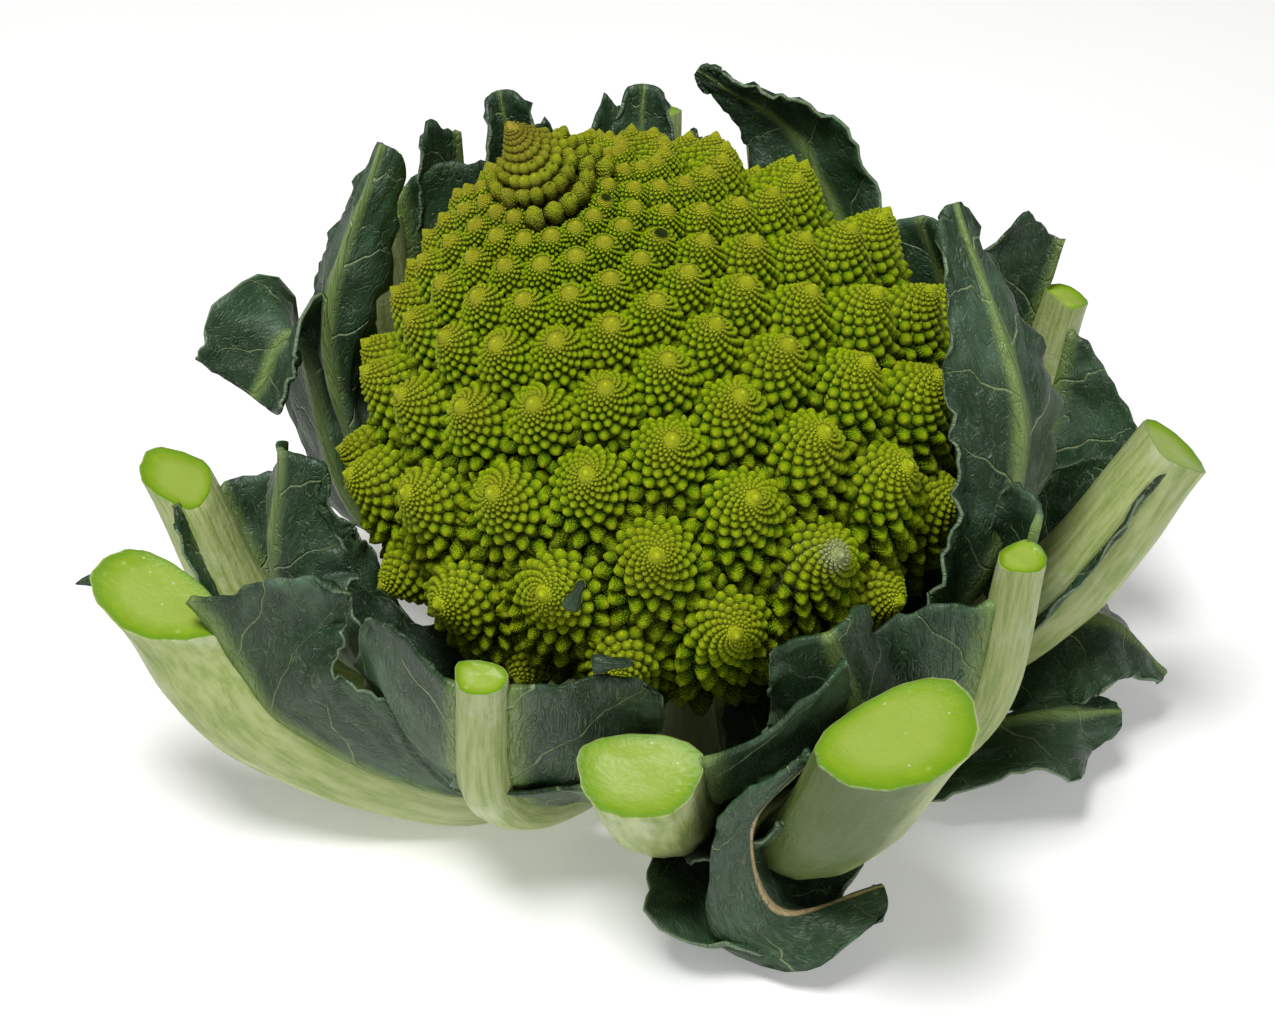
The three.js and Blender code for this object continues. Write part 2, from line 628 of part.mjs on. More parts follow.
// A thin sheet over a grid of points, thickened on both sides along the grid's own normals.
// extra grows it on all sides.
function sheetSolid(given, thicknessOf, extra) {
  const rows = extra ? widened(given, extra) : given;
  const thickness = (i, j) => thicknessOf(i, j) + 2 * extra;
  const [n, m] = [rows.length, rows[0].length];
  const normal = (i, j) => {
    const a = rows[Math.min(i + 1, n - 1)][j].clone().sub(rows[Math.max(i - 1, 0)][j]);
    const b = rows[i][Math.min(j + 1, m - 1)].clone().sub(rows[i][Math.max(j - 1, 0)]);
    return a.cross(b).normalize();
  };
  const points = [];
  for (const sign of [1, -1]) {
    for (let i = 0; i < n; i++) {
      for (let j = 0; j < m; j++) {
        points.push(rows[i][j].clone().addScaledVector(normal(i, j), (sign * thickness(i, j)) / 2));
      }
    }
  }
  const at = (i, j, under) => (under ? n * m : 0) + i * m + j;
  const corners = [];
  for (let i = 0; i + 1 < n; i++) {
    for (let j = 0; j + 1 < m; j++) {
      const quad = (under) => [at(i, j, under), at(i + 1, j, under), at(i + 1, j + 1, under), at(i, j + 1, under)];
      const [a, b, c, d] = quad(false);
      const [e, f, g, h] = quad(true);
      if ((i + j) % 2) corners.push(a, b, c, a, c, d, e, g, f, e, h, g);
      else corners.push(a, b, d, b, c, d, e, h, f, f, h, g);
    }
  }
  const wall = (i, j, k, l) => {
    const [a, b, c, d] = [at(i, j, false), at(k, l, false), at(k, l, true), at(i, j, true)];
    corners.push(a, c, b, a, d, c);
  };
  for (let i = 0; i + 1 < n; i++) {
    wall(i, 0, i + 1, 0);
    wall(i + 1, m - 1, i, m - 1);
  }
  for (let j = 0; j + 1 < m; j++) {
    wall(n - 1, j, n - 1, j + 1);
    wall(0, j + 1, 0, j);
  }
  const solid = solidOf(geometryFrom(points, corners));
  return solid.volume() < 0 ? solidOf(geometryFrom(points, corners.reverse())) : solid;
}

// The way a blade takes from start to v of its width, in shares of the width.
function bladeWay(frame, sign, fold, curl, v) {
  const way = new THREE.Vector3();
  const steps = 8;
  for (let k = 0; k < steps; k++) {
    const angle = radians(fold + (curl * v * (k + 0.5)) / steps);
    way.addScaledVector(frame.across, (sign * Math.cos(angle) * v) / steps);
    way.addScaledVector(frame.out, (-Math.sin(angle) * v) / steps);
  }
  return way;
}

function bladeRows(leaf, half, sign) {
  const frame = pathOf(leaf);
  const [depth, count, start] = half.wave;
  const [n, m] = CUT_BLADE_GRID;
  const rows = [];
  for (let i = 0; i <= n; i++) {
    const row = [];
    for (let j = 0; j <= m; j++) {
      const [u, v] = [i / n, j / m];
      const t = mix(half.from, half.to, u) + half.rise * u * v;
      const there = frame(t);
      const edge = spread(leaf.rib.wide, t) / 2 + RIB_CLEAR;
      const way = bladeWay(there, sign, spread(half.fold, u), spread(half.curl, u), v);
      const wave = depth * v ** 1.5 * Math.sin(2 * Math.PI * (count * u + start));
      row.push(
        there.at
          .clone()
          .addScaledVector(there.across, sign * edge)
          .addScaledVector(way, spread(half.wide, u))
          .addScaledVector(there.out, wave),
      );
    }
    rows.push(row.map((point, j) => (j ? keepOut(point, CLEAR_OF_CURD) : point)));
  }
  return rows;
}

function wholeRows(leaf) {
  const frame = pathOf(leaf);
  const [depth, count, start] = leaf.wave;
  const [n, m] = WHOLE_BLADE_GRID;
  const rows = [];
  for (let i = 0; i <= n; i++) {
    const t = i / n;
    const there = frame(t);
    const row = [];
    for (let j = -m; j <= m; j++) {
      const [sign, v] = [Math.sign(j), Math.abs(j) / m];
      const way = bladeWay(there, sign, leaf.fold[sign > 0 ? 1 : 0], leaf.curl[sign > 0 ? 1 : 0], v);
      const wave = depth * v ** 1.5 * Math.sin(2 * Math.PI * (count * t + start + (sign > 0 ? 0.3 : 0)));
      const wide = spread((sign > 0 && leaf.inner) || leaf.wide, t);
      const point = there.at.clone().addScaledVector(way, wide).addScaledVector(there.out, wave);
      row.push(keepOut(point, CLEAR_OF_CURD));
    }
    rows.push(row);
  }
  return rows;
}

const group = new THREE.Group();
const rooms = [];

const boxesMeet = (a, b) => {
  const [p, q] = [a.boundingBox(), b.boundingBox()];
  return [0, 1, 2].every((k) => p.min[k] < q.max[k] && q.min[k] < p.max[k]);
};

// Adds a piece, cut back by the room of the pieces that were added before it. shape makes the
// piece grown by a distance on all sides.
function keep(name, shape, material) {
  let solid = shape(0);
  for (const room of rooms) {
    if (boxesMeet(solid, room) && solid.intersect(room).volume() > 1e-6) solid = solid.subtract(room);
  }
  solid = largestBody(solid);
  const mesh = new THREE.Mesh(geometryOf(solid), material);
  mesh.name = name;
  group.add(mesh);
  rooms.push(shape(GAP));
}

const curd = curdSolid();
keep("curd", () => curd, FLORET_GREEN);
keep("stem", stemSolid, STEM_PALE);
for (const [name, leaf] of Object.entries(CUT_LEAVES)) {
  keep(`${name}_rib`, (extra) => ribSolid(leaf, extra), RIB_PALE);
}
for (const [name, leaf] of Object.entries(CUT_LEAVES)) {
  for (const [side, sign] of [["cw", -1], ["ccw", 1]]) {
    const rows = bladeRows(leaf, leaf[side], sign);
    keep(`${name}_blade_${side}`, (extra) => sheetSolid(rows, () => BLADE_THICK, extra), BLADE_GREEN);
  }
}
for (const [name, leaf] of Object.entries(WHOLE_LEAVES)) {
  const rows = wholeRows(leaf);
  const thickness = (i, j) => {
    const v = Math.abs(j - WHOLE_BLADE_GRID[1]) / WHOLE_BLADE_GRID[1];
    return mix(WHOLE_RIB, BLADE_THICK, Math.min(v / WHOLE_RIB_REACH, 1));
  };
  keep(name, (extra) => sheetSolid(rows, thickness, extra), BLADE_GREEN);
}

export default group;
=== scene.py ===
"""A romanesco head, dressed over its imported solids: florets of buds in golden-angle spirals,
thick cut ribs, and thin veined leaves. Metres, +Z up, -Y is the front."""

import math

import bpy
import numpy as np
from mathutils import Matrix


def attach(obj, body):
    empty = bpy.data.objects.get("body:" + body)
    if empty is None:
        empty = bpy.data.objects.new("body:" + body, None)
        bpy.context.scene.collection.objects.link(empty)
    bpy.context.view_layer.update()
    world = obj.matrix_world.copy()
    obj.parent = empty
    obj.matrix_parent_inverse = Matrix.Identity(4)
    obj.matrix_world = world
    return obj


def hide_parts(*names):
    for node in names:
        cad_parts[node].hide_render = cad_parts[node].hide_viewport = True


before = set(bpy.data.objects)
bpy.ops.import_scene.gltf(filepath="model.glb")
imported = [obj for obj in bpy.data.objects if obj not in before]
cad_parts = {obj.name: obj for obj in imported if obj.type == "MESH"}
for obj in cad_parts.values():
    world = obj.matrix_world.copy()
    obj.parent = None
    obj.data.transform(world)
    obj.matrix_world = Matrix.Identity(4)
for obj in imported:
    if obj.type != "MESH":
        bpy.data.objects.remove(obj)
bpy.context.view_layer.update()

MM = 0.001
TURN = 2 * math.pi
UP = np.array([0.0, 0.0, 1.0])
dice = np.random.default_rng(8)

# Camera
CAMERA_HEIGHT_ANGLE = math.radians(40)
CAMERA_DISTANCE = 600 * MM
CAMERA_TARGET = np.array([-14.6, -6.2, 68.0]) * MM
CAMERA_LENS = 70.6

# The curd, as in the solid: a superellipsoid whose top is bent to the left.
CURD_CENTRE = np.array([-10.0, 5.0, 80.0])
CURD_BEND = np.array([-34.0, 12.0, 0.0])
BEND_POWER = 3.2
SWELL = 0.3
SWELL_AT = math.radians(38)
SWELL_SCALE = 6.75  # high ** 2 * (1 - high) times this is 1 where it is highest
CURD_RADIUS = 78
CURD_HEIGHT = 84
CURD_DEPTH = 44
CONE_POWER = 1.15
SHOULDER_POWER = 1.8
TIP_DIP = 4.5
DIP_AT = 14
DIP_END = 48

GOLDEN_SHARE = 137.508 / 360
GOLDEN_ANGLE = TURN * GOLDEN_SHARE
SPIRAL_START = 158
FLORETS_PER_FOLD = [78, 66]
FEWER_FROM = 50
FEWEST_FROM = 90
CELL_SHARE = 0.866  # area of a hexagonal cell, as a share of the square of its width
LAST_FLORET = 13
LAST_BUD = 2.2
SMALLEST_FLORET = 5.6  # in mm, as the distance between tips. Smaller ones are single buds
FLORET_LENGTH = 1.0
FLORET_RADIUS = 0.6
# Outlines of the florets: a power of 1 is a cone, 2 a dome. Each holds from its size in mm on.
FLORET_POWERS = [1.9, 1.5, 1.25]
POWERS_FROM = [9.0, 15.0]
FLORET_LEAN = 0.28
CORE_DEPTH = 1.0

# Buds on a floret, in shares of the distance between floret tips.
BUDS_PER_FOLD = 70
# Arms of the buds' spiral, and how far each turns while the way shrinks by a factor of e.
BUD_ARMS = [(5, -0.090170), (8, 0.055728), (13, -0.034442)]
BUD_START = 1.25
BUD_WIDTH = 1.12
BUD_LEAN = 0.12
SMALLEST_BUD = 0.75  # this and the next are in mm
ROUND_BUD_FROM = 1.5
FULL_BUD_FROM = 2.4
KNOBBED_BUD_FROM = 3.6
CURD_PIECES = 5

CLEAR_OF_CURD = 2.4
NEAR_AXIS = 25  # leaves this close to the axis lie under the curd and stay as they are
LEAF_FLOOR = 0.8
RIB_CREST = 2.4  # thickness of a blade at a cut rib, and of a whole leaf at its middle
LEAF_CREST = 4.2
BLADE_THICK = 0.9
BLADE_EDGE = 0.45
VEIN_SPACING = 23
VEIN_SLANT = 0.9

def half(start, end, rise, wide, fold, curl, wave):
    return {"from": start, "to": end, "rise": rise, "wide": wide, "fold": fold, "curl": curl,
            "wave": wave}


# Leaves with a thick rib cut through, as in the solid: the compass angle that the rib's round side
# looks at, its path, its width and thickness, and its two halves. A half holds its two ends
# along the rib, how much further its outer edge reaches, its width, its bend to the curd at the
# rib and over the width in degrees, and the depth, count and start of its waves. green_at and
# scab_at are the angles round a rib at which its skin is green, and flaking.
CUT_LEAVES = {
    "left_big": {
        "face": 226, "path": [[-13, -15, 10.8], [-58, -39, 15.5], [-103, -38, 37], [-124, -31, 66]],
        "wide": [12, 23, 24, 24], "thick": [14, 21, 22, 21], "cut": [0.1, -0.2, 0.97],
        "cw": half(0.8, 1.06, 0.05, [3, 8, 12], [-20, -40], [-30, -40], [2, 2, 0.2]),
        "ccw": half(0.3, 0.98, -0.02, [6, 26, 34, 39], [40, 20], [25, 25], [2.5, 1.6, 0.3]),
    },
    "left_upper": {
        "face": 166, "path": [[-17, -1, 22], [-66, -7, 14], [-107, 0, 27], [-127, 18, 59]],
        "wide": [10, 19, 18, 17], "thick": [12, 15, 15, 15], "cut": [0.1, -0.1, 0.98],
        "cw": half(0.35, 0.96, -0.02, [8, 24, 28, 28], [35, 45], [30, 40], [2, 1.5, 0]),
        "ccw": half(0.45, 0.98, -0.05, [3, 6, 7, 6], [10, 10], [0, 0], [0.4, 3, 0]),
    },
    "back_left_low": {
        "face": 133, "path": [[-14, 12, 10], [-50, 46, 16], [-76, 66, 50], [-81, 73, 100]],
        "wide": [10, 18, 17, 14], "thick": [12, 14, 13, 11],
        "cw": half(0.35, 1.04, 0.08, [6, 22, 28, 27], [20, 25], [30, 30], [2, 1.3, 0.5]),
        "ccw": half(0.4, 0.98, -0.02, [4, 14, 15, 13], [10, 10], [20, 30], [1, 2, 0]),
    },
    "back_left": {
        "face": 117, "path": [[-7, 17, 22], [-30, 58, 15], [-50, 88, 52], [-54, 94, 98]],
        "wide": [10, 18, 17, 14], "thick": [12, 14, 13, 11],
        "cw": half(0.3, 1.08, 0.06, [6, 16, 20, 15], [20, 20], [30, 20], [2, 1.4, 0]),
        "ccw": half(0.45, 1.12, 0.08, [4, 14, 18, 16], [10, 10], [20, 30], [1.5, 1.6, 0.3]),
    },
    "back": {
        "face": 93, "path": [[0, 19, 10], [-5, 62, 16], [-10, 100, 54], [-10, 114, 108]],
        "wide": [11, 19, 17, 14], "thick": [13, 16, 14, 11],
        "cw": half(0.35, 0.95, 0.04, [5, 16, 16, 8], [10, 10], [30, 30], [1.5, 1.6, 0]),
        "ccw": half(0.35, 1.0, 0.05, [5, 18, 20, 12], [10, 10], [30, 30], [1.5, 1.8, 0.5]),
    },
    "back_right": {
        "face": 76, "path": [[7, 18, 22], [20, 60, 15], [27, 98, 50], [21, 112, 106]],
        "wide": [10, 20, 18, 15], "thick": [13, 16, 14, 11],
        "cw": half(0.35, 0.92, 0.0, [5, 20, 26, 14], [10, 15], [30, 30], [2, 1.5, 0.1]),
        "ccw": half(0.35, 0.88, 0.0, [4, 12, 12, 7], [10, 10], [20, 20], [1.5, 1.5, 0.6]),
    },
    "right_back": {
        "face": 32, "path": [[16, 9, 22], [58, 36, 18], [84, 50, 50], [93, 54, 90]],
        "wide": [10, 17, 15, 12], "thick": [12, 14, 12, 10],
        "cw": half(0.4, 0.96, -0.12, [6, 22, 36, 24], [5, -20], [10, -30], [3, 1.7, 0.2]),
        "ccw": half(0.4, 1.1, 0.08, [5, 16, 22, 20], [30, 45], [30, 40], [2.5, 1.6, 0.7]),
    },
    "right_big": {
        "face": 352, "path": [[18, -3, 10], [54, -8, 18], [85, -12, 53], [109, -5, 90]],
        "wide": [12, 22, 22, 21], "thick": [15, 19, 20, 18],
        "cw": half(0.35, 0.97, -0.04, [3, 5, 4, 2], [10, 10], [0, 0], [0.4, 3, 0]),
        "ccw": half(0.35, 0.9, 0.0, [5, 16, 16, 8], [30, 30], [30, 30], [1.5, 1.5, 0.4]),
    },
    "right_front": {
        "face": 318, "path": [[15, -11, 22], [45, -31, 14], [64, -48, 46], [69, -50, 94]],
        "wide": [9, 15, 13, 12], "thick": [12, 13, 11, 10],
        "cw": half(0.35, 0.93, -0.03, [6, 26, 38, 34], [25, 35], [30, 30], [3, 1.5, 0]),
        "ccw": half(0.5, 1.04, 0.04, [5, 12, 18, 16], [10, 20], [50, 120], [1, 1, 0.3]),
    },
    "front_right_big": {
        "face": 306, "path": [[8, -17, 10], [18, -50, 15.8], [29, -76, 42], [39, -87, 78]],
        "wide": [13, 28, 34, 37], "thick": [14, 20, 22, 24], "cut": [-0.05, -0.1, 1],
        "green_at": 155, "scab_at": 30,
        "cw": half(0.3, 0.75, 0, [8, 14, 8, 3], [10, 10], [-20, -20], [0.5, 2, 0]),
        "ccw": half(0.45, 1.0, 0.0, [4, 10, 11, 8], [20, 20], [20, 20], [1.5, 2, 0.5]),
    },
    "front": {
        "face": 268, "path": [[-1, -19, 22], [-4, -44, 14], [-10, -66, 34], [-14, -83, 63]],
        "wide": [11, 22, 26, 27], "thick": [14, 18, 20, 20], "cut": [0, -0.3, 0.95],
        "cw": half(0.5, 0.8, 0.02, [24, 36, 34], [0, -10], [25, 20], [2, 1, 0]),
        "ccw": half(0.4, 0.98, 0.3, [8, 24, 36, 42], [10, 5], [30, 45], [2.5, 1.4, 0.4]),
    },
    "front_left": {
        "face": 252, "path": [[-9, -18, 10], [-33, -44, 14], [-48, -66, 38], [-48, -75, 82]],
        "wide": [9, 14, 13, 11.5], "thick": [12, 12, 11, 9],
        "cw": half(0.35, 0.94, 0.1, [8, 26, 32, 28], [5, 10], [20, 30], [2, 1.2, 0.2]),
        "ccw": half(0.4, 0.97, 0.04, [6, 24, 34, 37], [10, 15], [20, 30], [2.5, 1.5, 0.6]),
    },
}

# Whole leaves with a thin rib, as in the solid. wide is half the width along the leaf, inner that
# of the ccw half where it differs, and fold and curl bend the cw and ccw halves.
WHOLE_LEAVES = {
    "left_inner": {
        "face": 205, "path": [[-16, -8, 30], [-64, -24, 26], [-99, -20, 54], [-98, -7, 89]],
        "wide": [6, 18, 24, 16], "fold": [10, 20], "curl": [30, 50], "wave": [2, 1.5, 0.1],
    },
    "left_tall": {
        "face": 225, "path": [[-18, 4, 30], [-72, 22, 40], [-91, 32, 90], [-75, 45, 140]],
        "wide": [6, 17, 19, 6], "fold": [20, 30], "curl": [30, 60], "wave": [1.5, 1.5, 0],
    },
    "left_scroll": {
        "face": 240, "path": [[-15, 9, 30], [-82, 22, 40], [-99, 40, 86], [-110, 31, 75]],
        "wide": [5, 15, 19, 17], "fold": [10, 10], "curl": [40, 60], "wave": [1.5, 1.5, 0.4],
    },
    "back_left_tip": {
        "face": 105, "path": [[-7, 16, 30], [-24, 66, 38], [-42, 94, 80], [-51, 106, 119]],
        "wide": [5, 14, 17, 6], "fold": [15, 20], "curl": [20, 30], "wave": [1.5, 1.5, 0.2],
    },
    "back_tip": {
        "face": 92, "path": [[0, 18, 30], [-4, 66, 40], [-14, 92, 84], [-13, 106, 121]],
        "wide": [5, 12, 15, 7], "fold": [15, 20], "curl": [20, 30], "wave": [1.5, 1.5, 0.5],
    },
    "back_right_tip": {
        "face": 72, "path": [[8, 16, 30], [46, 70, 56], [30, 93, 108], [1, 100, 129]],
        "wide": [5, 16, 16, 4], "fold": [10, 15], "curl": [20, 20], "wave": [1.5, 1.5, 0.7],
    },
    "right_back_low": {
        "face": 48, "path": [[14, 11, 30], [52, 46, 34], [68, 66, 70], [58, 74, 101]],
        "wide": [5, 16, 20, 14], "fold": [10, 15], "curl": [20, 30], "wave": [2, 1.5, 0.3],
    },
    "right_tall": {
        "face": 302, "path": [[18, -2, 30], [58, -34, 62], [71, -26, 108], [56, 6, 149]],
        "wide": [6, 20, 19, 6], "fold": [10, 15], "curl": [20, 30], "wave": [2, 1.4, 0],
    },
    "right_low": {
        "face": 350, "path": [[18, 5, 10], [60, 4, 12], [98, -2, 32], [119, -6, 16]],
        "wide": [4, 18, 25, 5], "fold": [-10, -20], "curl": [-10, -20], "wave": [2, 1.8, 0.2],
    },
    "right_front_low": {
        "face": 330, "path": [[14, -11, 10], [50, -27, 12], [82, -30, 24], [105, -22, 18]],
        "wide": [4, 16, 19, 5], "fold": [-10, -20], "curl": [-10, -20], "wave": [2.5, 1.8, 0.6],
    },
    "front_right_collar": {
        "face": 315,
        "path": [[22.3, -89.6, 70], [10.6, -88.9, 48], [17.8, -87.5, 19], [41.8, -81.8, 21]],
        "wide": [3, 8, 15, 7], "inner": [3, 8, 14, 8], "fold": [-30, -35], "curl": [-20, -10],
        "wave": [0, 1, 0],
    },
    "front_skirt": {
        "face": 290, "path": [[0, -19, 7], [8, -52, 6], [16, -73, 8], [26, -88, 5]],
        "wide": [6, 22, 32, 8], "fold": [10, 15], "curl": [15, 20], "wave": [0.8, 1.6, 0.3],
    },
    "front_inner": {
        "face": 290, "path": [[8, -16, 30], [20, -52, 24], [34, -70, 56], [26, -74, 92]],
        "wide": [5, 14, 20, 14], "fold": [15, 20], "curl": [20, 40], "wave": [2, 1.5, 0.5],
    },
}


def unit(vectors):
    """The vectors with a length of one."""
    return vectors / np.maximum(np.linalg.norm(vectors, axis=-1, keepdims=True), 1e-9)


def ease(value, low, high):
    """A smooth step from 0 at low to 1 at high."""
    share = np.clip((value - low) / (high - low), 0, 1)
    return share * share * (3 - 2 * share)


def spread(values, share):
    """The value at a share of a list that is spread evenly, eased between its entries."""
    values = np.array(values, float)
    at = np.clip(share, 0, 1) * (len(values) - 1)
    before = np.minimum(at.astype(int), len(values) - 2)
    f = at - before
    return values[before] + (values[before + 1] - values[before]) * f * f * (3 - 2 * f)


def colour_of(shade):
    """A colour given as on a screen, as the shader's linear numbers."""
    parts = [int(shade[i:i + 2], 16) / 255 for i in (0, 2, 4)]
    linear = [p / 12.92 if p <= 0.04045 else ((p + 0.055) / 1.055) ** 2.4 for p in parts]
    return (*linear, 1.0)


# Materials

def connect(tree, node, inputs):
    """Gives a shader node its inputs, which are sockets or plain values."""
    for key, value in inputs.items():
        if isinstance(value, bpy.types.NodeSocket):
            tree.links.new(value, node.inputs[key])
        else:
            node.inputs[key].default_value = value


def add(tree, kind, inputs, **settings):
    """A shader node with its settings and inputs."""
    made = tree.nodes.new(kind)
    for key, value in settings.items():
        setattr(made, key, value)
    connect(tree, made, inputs)
    return made


def calculate(tree, operation, a, b=0.0):
    return add(tree, "ShaderNodeMath", {0: a, 1: b}, operation=operation).outputs[0]


def times(tree, a, b):
    return calculate(tree, "MULTIPLY", a, b)


def plus(tree, a, b):
    return calculate(tree, "ADD", a, b)


def step(tree, value, low, high):
    """0 at low and 1 at high, eased between them."""
    inputs = {"Value": value, "From Min": low, "From Max": high}
    made = add(tree, "ShaderNodeMapRange", inputs, interpolation_type="SMOOTHSTEP")
    return made.outputs["Result"]


def between(tree, share, first, last):
    """The value at a share of the way from the first number to the last."""
    inputs = {"Value": share, "To Min": first, "To Max": last}
    return add(tree, "ShaderNodeMapRange", inputs).outputs["Result"]


def blend(tree, share, first, second):
    made = add(tree, "ShaderNodeMix", {0: share, 6: first, 7: second}, data_type="RGBA")
    return made.outputs[2]


def layered(tree, colour, layers):
    """A colour under layers, each with its mask, its share and its own colour."""
    for mask, share, shade in layers:
        if share != 1:
            mask = times(tree, mask, share)
        colour = blend(tree, mask, colour, colour_of(shade))
    return colour


def attribute(tree, name):
    return add(tree, "ShaderNodeAttribute", {}, attribute_name=name).outputs["Fac"]


def uv_map(tree, name):
    return add(tree, "ShaderNodeUVMap", {}, uv_map=name).outputs["UV"]


def noise(tree, vector, scale, detail, **inputs):
    inputs = {"Vector": vector, "Scale": scale, "Detail": detail, **inputs}
    return add(tree, "ShaderNodeTexNoise", inputs).outputs["Fac"]


def stretched(tree, vector, scale):
    return add(tree, "ShaderNodeMapping", {"Vector": vector, "Scale": scale}).outputs["Vector"]


def group(name, numbers):
    """A shader node group from a vector and numbers to a mask, and its two end nodes."""
    tree = bpy.data.node_groups.new(name, "ShaderNodeTree")
    tree.interface.new_socket("Vector", in_out="INPUT", socket_type="NodeSocketVector")
    for number in numbers:
        tree.interface.new_socket(number, in_out="INPUT", socket_type="NodeSocketFloat")
    tree.interface.new_socket("Mask", in_out="OUTPUT", socket_type="NodeSocketFloat")
    return tree, tree.nodes.new("NodeGroupInput").outputs, tree.nodes.new("NodeGroupOutput")


def patches_group():
    """Soft patches of a given size, for bloom, stains and changes of colour."""
    tree, given, result = group("patches", ["Scale", "Low", "High"])
    value = noise(tree, given["Vector"], given["Scale"], 5.0, Roughness=0.6, Distortion=0.4)
    connect(tree, result, {"Mask": step(tree, value, given["Low"], given["High"])})
    return tree


def specks_group():
    """Small round specks that lie apart, on a share of the places."""
    tree, given, result = group("specks", ["Scale", "Size", "Share"])
    cells = add(tree, "ShaderNodeTexVoronoi", {"Vector": given["Vector"], "Scale": given["Scale"]})
    near = step(tree, cells.outputs["Distance"], given["Size"], times(tree, given["Size"], 0.4))
    drawn = add(tree, "ShaderNodeSeparateColor", {"Color": cells.outputs["Color"]}).outputs[0]
    chosen = calculate(tree, "LESS_THAN", drawn, given["Share"])
    connect(tree, result, {"Mask": times(tree, near, chosen)})
    return tree


PATCHES = patches_group()
SPECKS = specks_group()


def place(tree, node_group, vector, **values):
    """A group placed in a material with its own values. The output is its mask."""
    made = tree.nodes.new("ShaderNodeGroup")
    made.node_tree = node_group
    connect(tree, made, {"Vector": vector, **values})
    return made.outputs["Mask"]


def new_material(name):
    material = bpy.data.materials.new(name)
    material.use_nodes = True
    tree = material.node_tree
    shader = tree.nodes["Principled BSDF"]
    here = tree.nodes.new("ShaderNodeTexCoord").outputs["Object"]
    return material, tree, shader, here


def relief(tree, height, grain, depth, strength=1.0):
    """The normal of a surface with this height in metres, and a grain of its own depth."""
    height = plus(tree, height, times(tree, grain, depth))
    bump = add(tree, "ShaderNodeBump", {"Height": height, "Distance": 1.0, "Strength": strength})
    return bump.outputs["Normal"]


def bud_waves(tree):
    """Waves along three of the arms that the golden angle makes, highest where buds would be."""
    spiral = uv_map(tree, "spiral")
    waves = 0.0
    for arms, folds in BUD_ARMS:
        phase = add(tree, "ShaderNodeVectorMath",
                    {0: spiral, 1: (arms * TURN, folds * BUDS_PER_FOLD * TURN, 0.0)},
                    operation="DOT_PRODUCT").outputs["Value"]
        waves = plus(tree, waves, calculate(tree, "COSINE", phase))
    return waves


def floret_material():
    """Florets: painted highlights on the bud and floret tips over painted shade in the hollows,
    olive towards the curd's tip, pits and a scar.
    """
    material, tree, shader, here = new_material("floret")
    bud, floret = attribute(tree, "bud"), attribute(tree, "floret")
    apex = tuple(np.array(APEX) * MM)
    away = add(tree, "ShaderNodeVectorMath", {0: here, 1: apex},
               operation="DISTANCE").outputs["Value"]
    brown = times(tree, place(tree, PATCHES, here, Scale=260.0, Low=0.42, High=0.62),
                  step(tree, away, 0.045, 0.0))
    olive = times(tree, step(tree, floret, 0.6, 0.95), step(tree, away, 0.11, 0.02))
    waves = bud_waves(tree)
    colour = layered(tree, colour_of("345600"), [
        # Dark base, lighter up each bud: painted shade at the bud feet under a painted highlight on
        # the bud tips.
        (step(tree, bud, 0.1, 0.75), 1, "acd200"),
        (step(tree, bud, 0.6, 1.0), 0.75, "e2ec1c"),
        # Near black at the florets' feet: painted shade in the hollows between them. Lighter towards
        # their tips: painted light.
        (step(tree, floret, 0.42, 0.05), 0.85, "1a2a01"),
        (step(tree, floret, 0.5, 0.95), 0.5, "dde42c"),
        (place(tree, PATCHES, here, Scale=60.0, Low=0.45, High=0.7), 0.25, "b8a81c"),
        (brown, 0.5, "a58a38"),
        (olive, 0.6, "b59a35"),
        (step(tree, away, 0.016, 0.005), 0.8, "9a862a"),
        (step(tree, attribute(tree, "stain"), 0.1, 0.9), 1, "140b04"),
        (step(tree, attribute(tree, "scar"), 0.05, 0.7), 1, "c9d38e"),
        # Darker where the waves are low: painted shade in the hollows between the small buds.
        (step(tree, waves, 0.6, -1.4), 0.4, "527a02"),
    ])
    height = times(tree, times(tree, waves, attribute(tree, "reach")), 0.06)
    grain = noise(tree, here, 2200.0, 3.0)
    connect(tree, shader, {"Base Color": colour, "Normal": relief(tree, height, grain, 0.00012),
                           "Roughness": 0.5, "Specular IOR Level": 0.18})
    return material


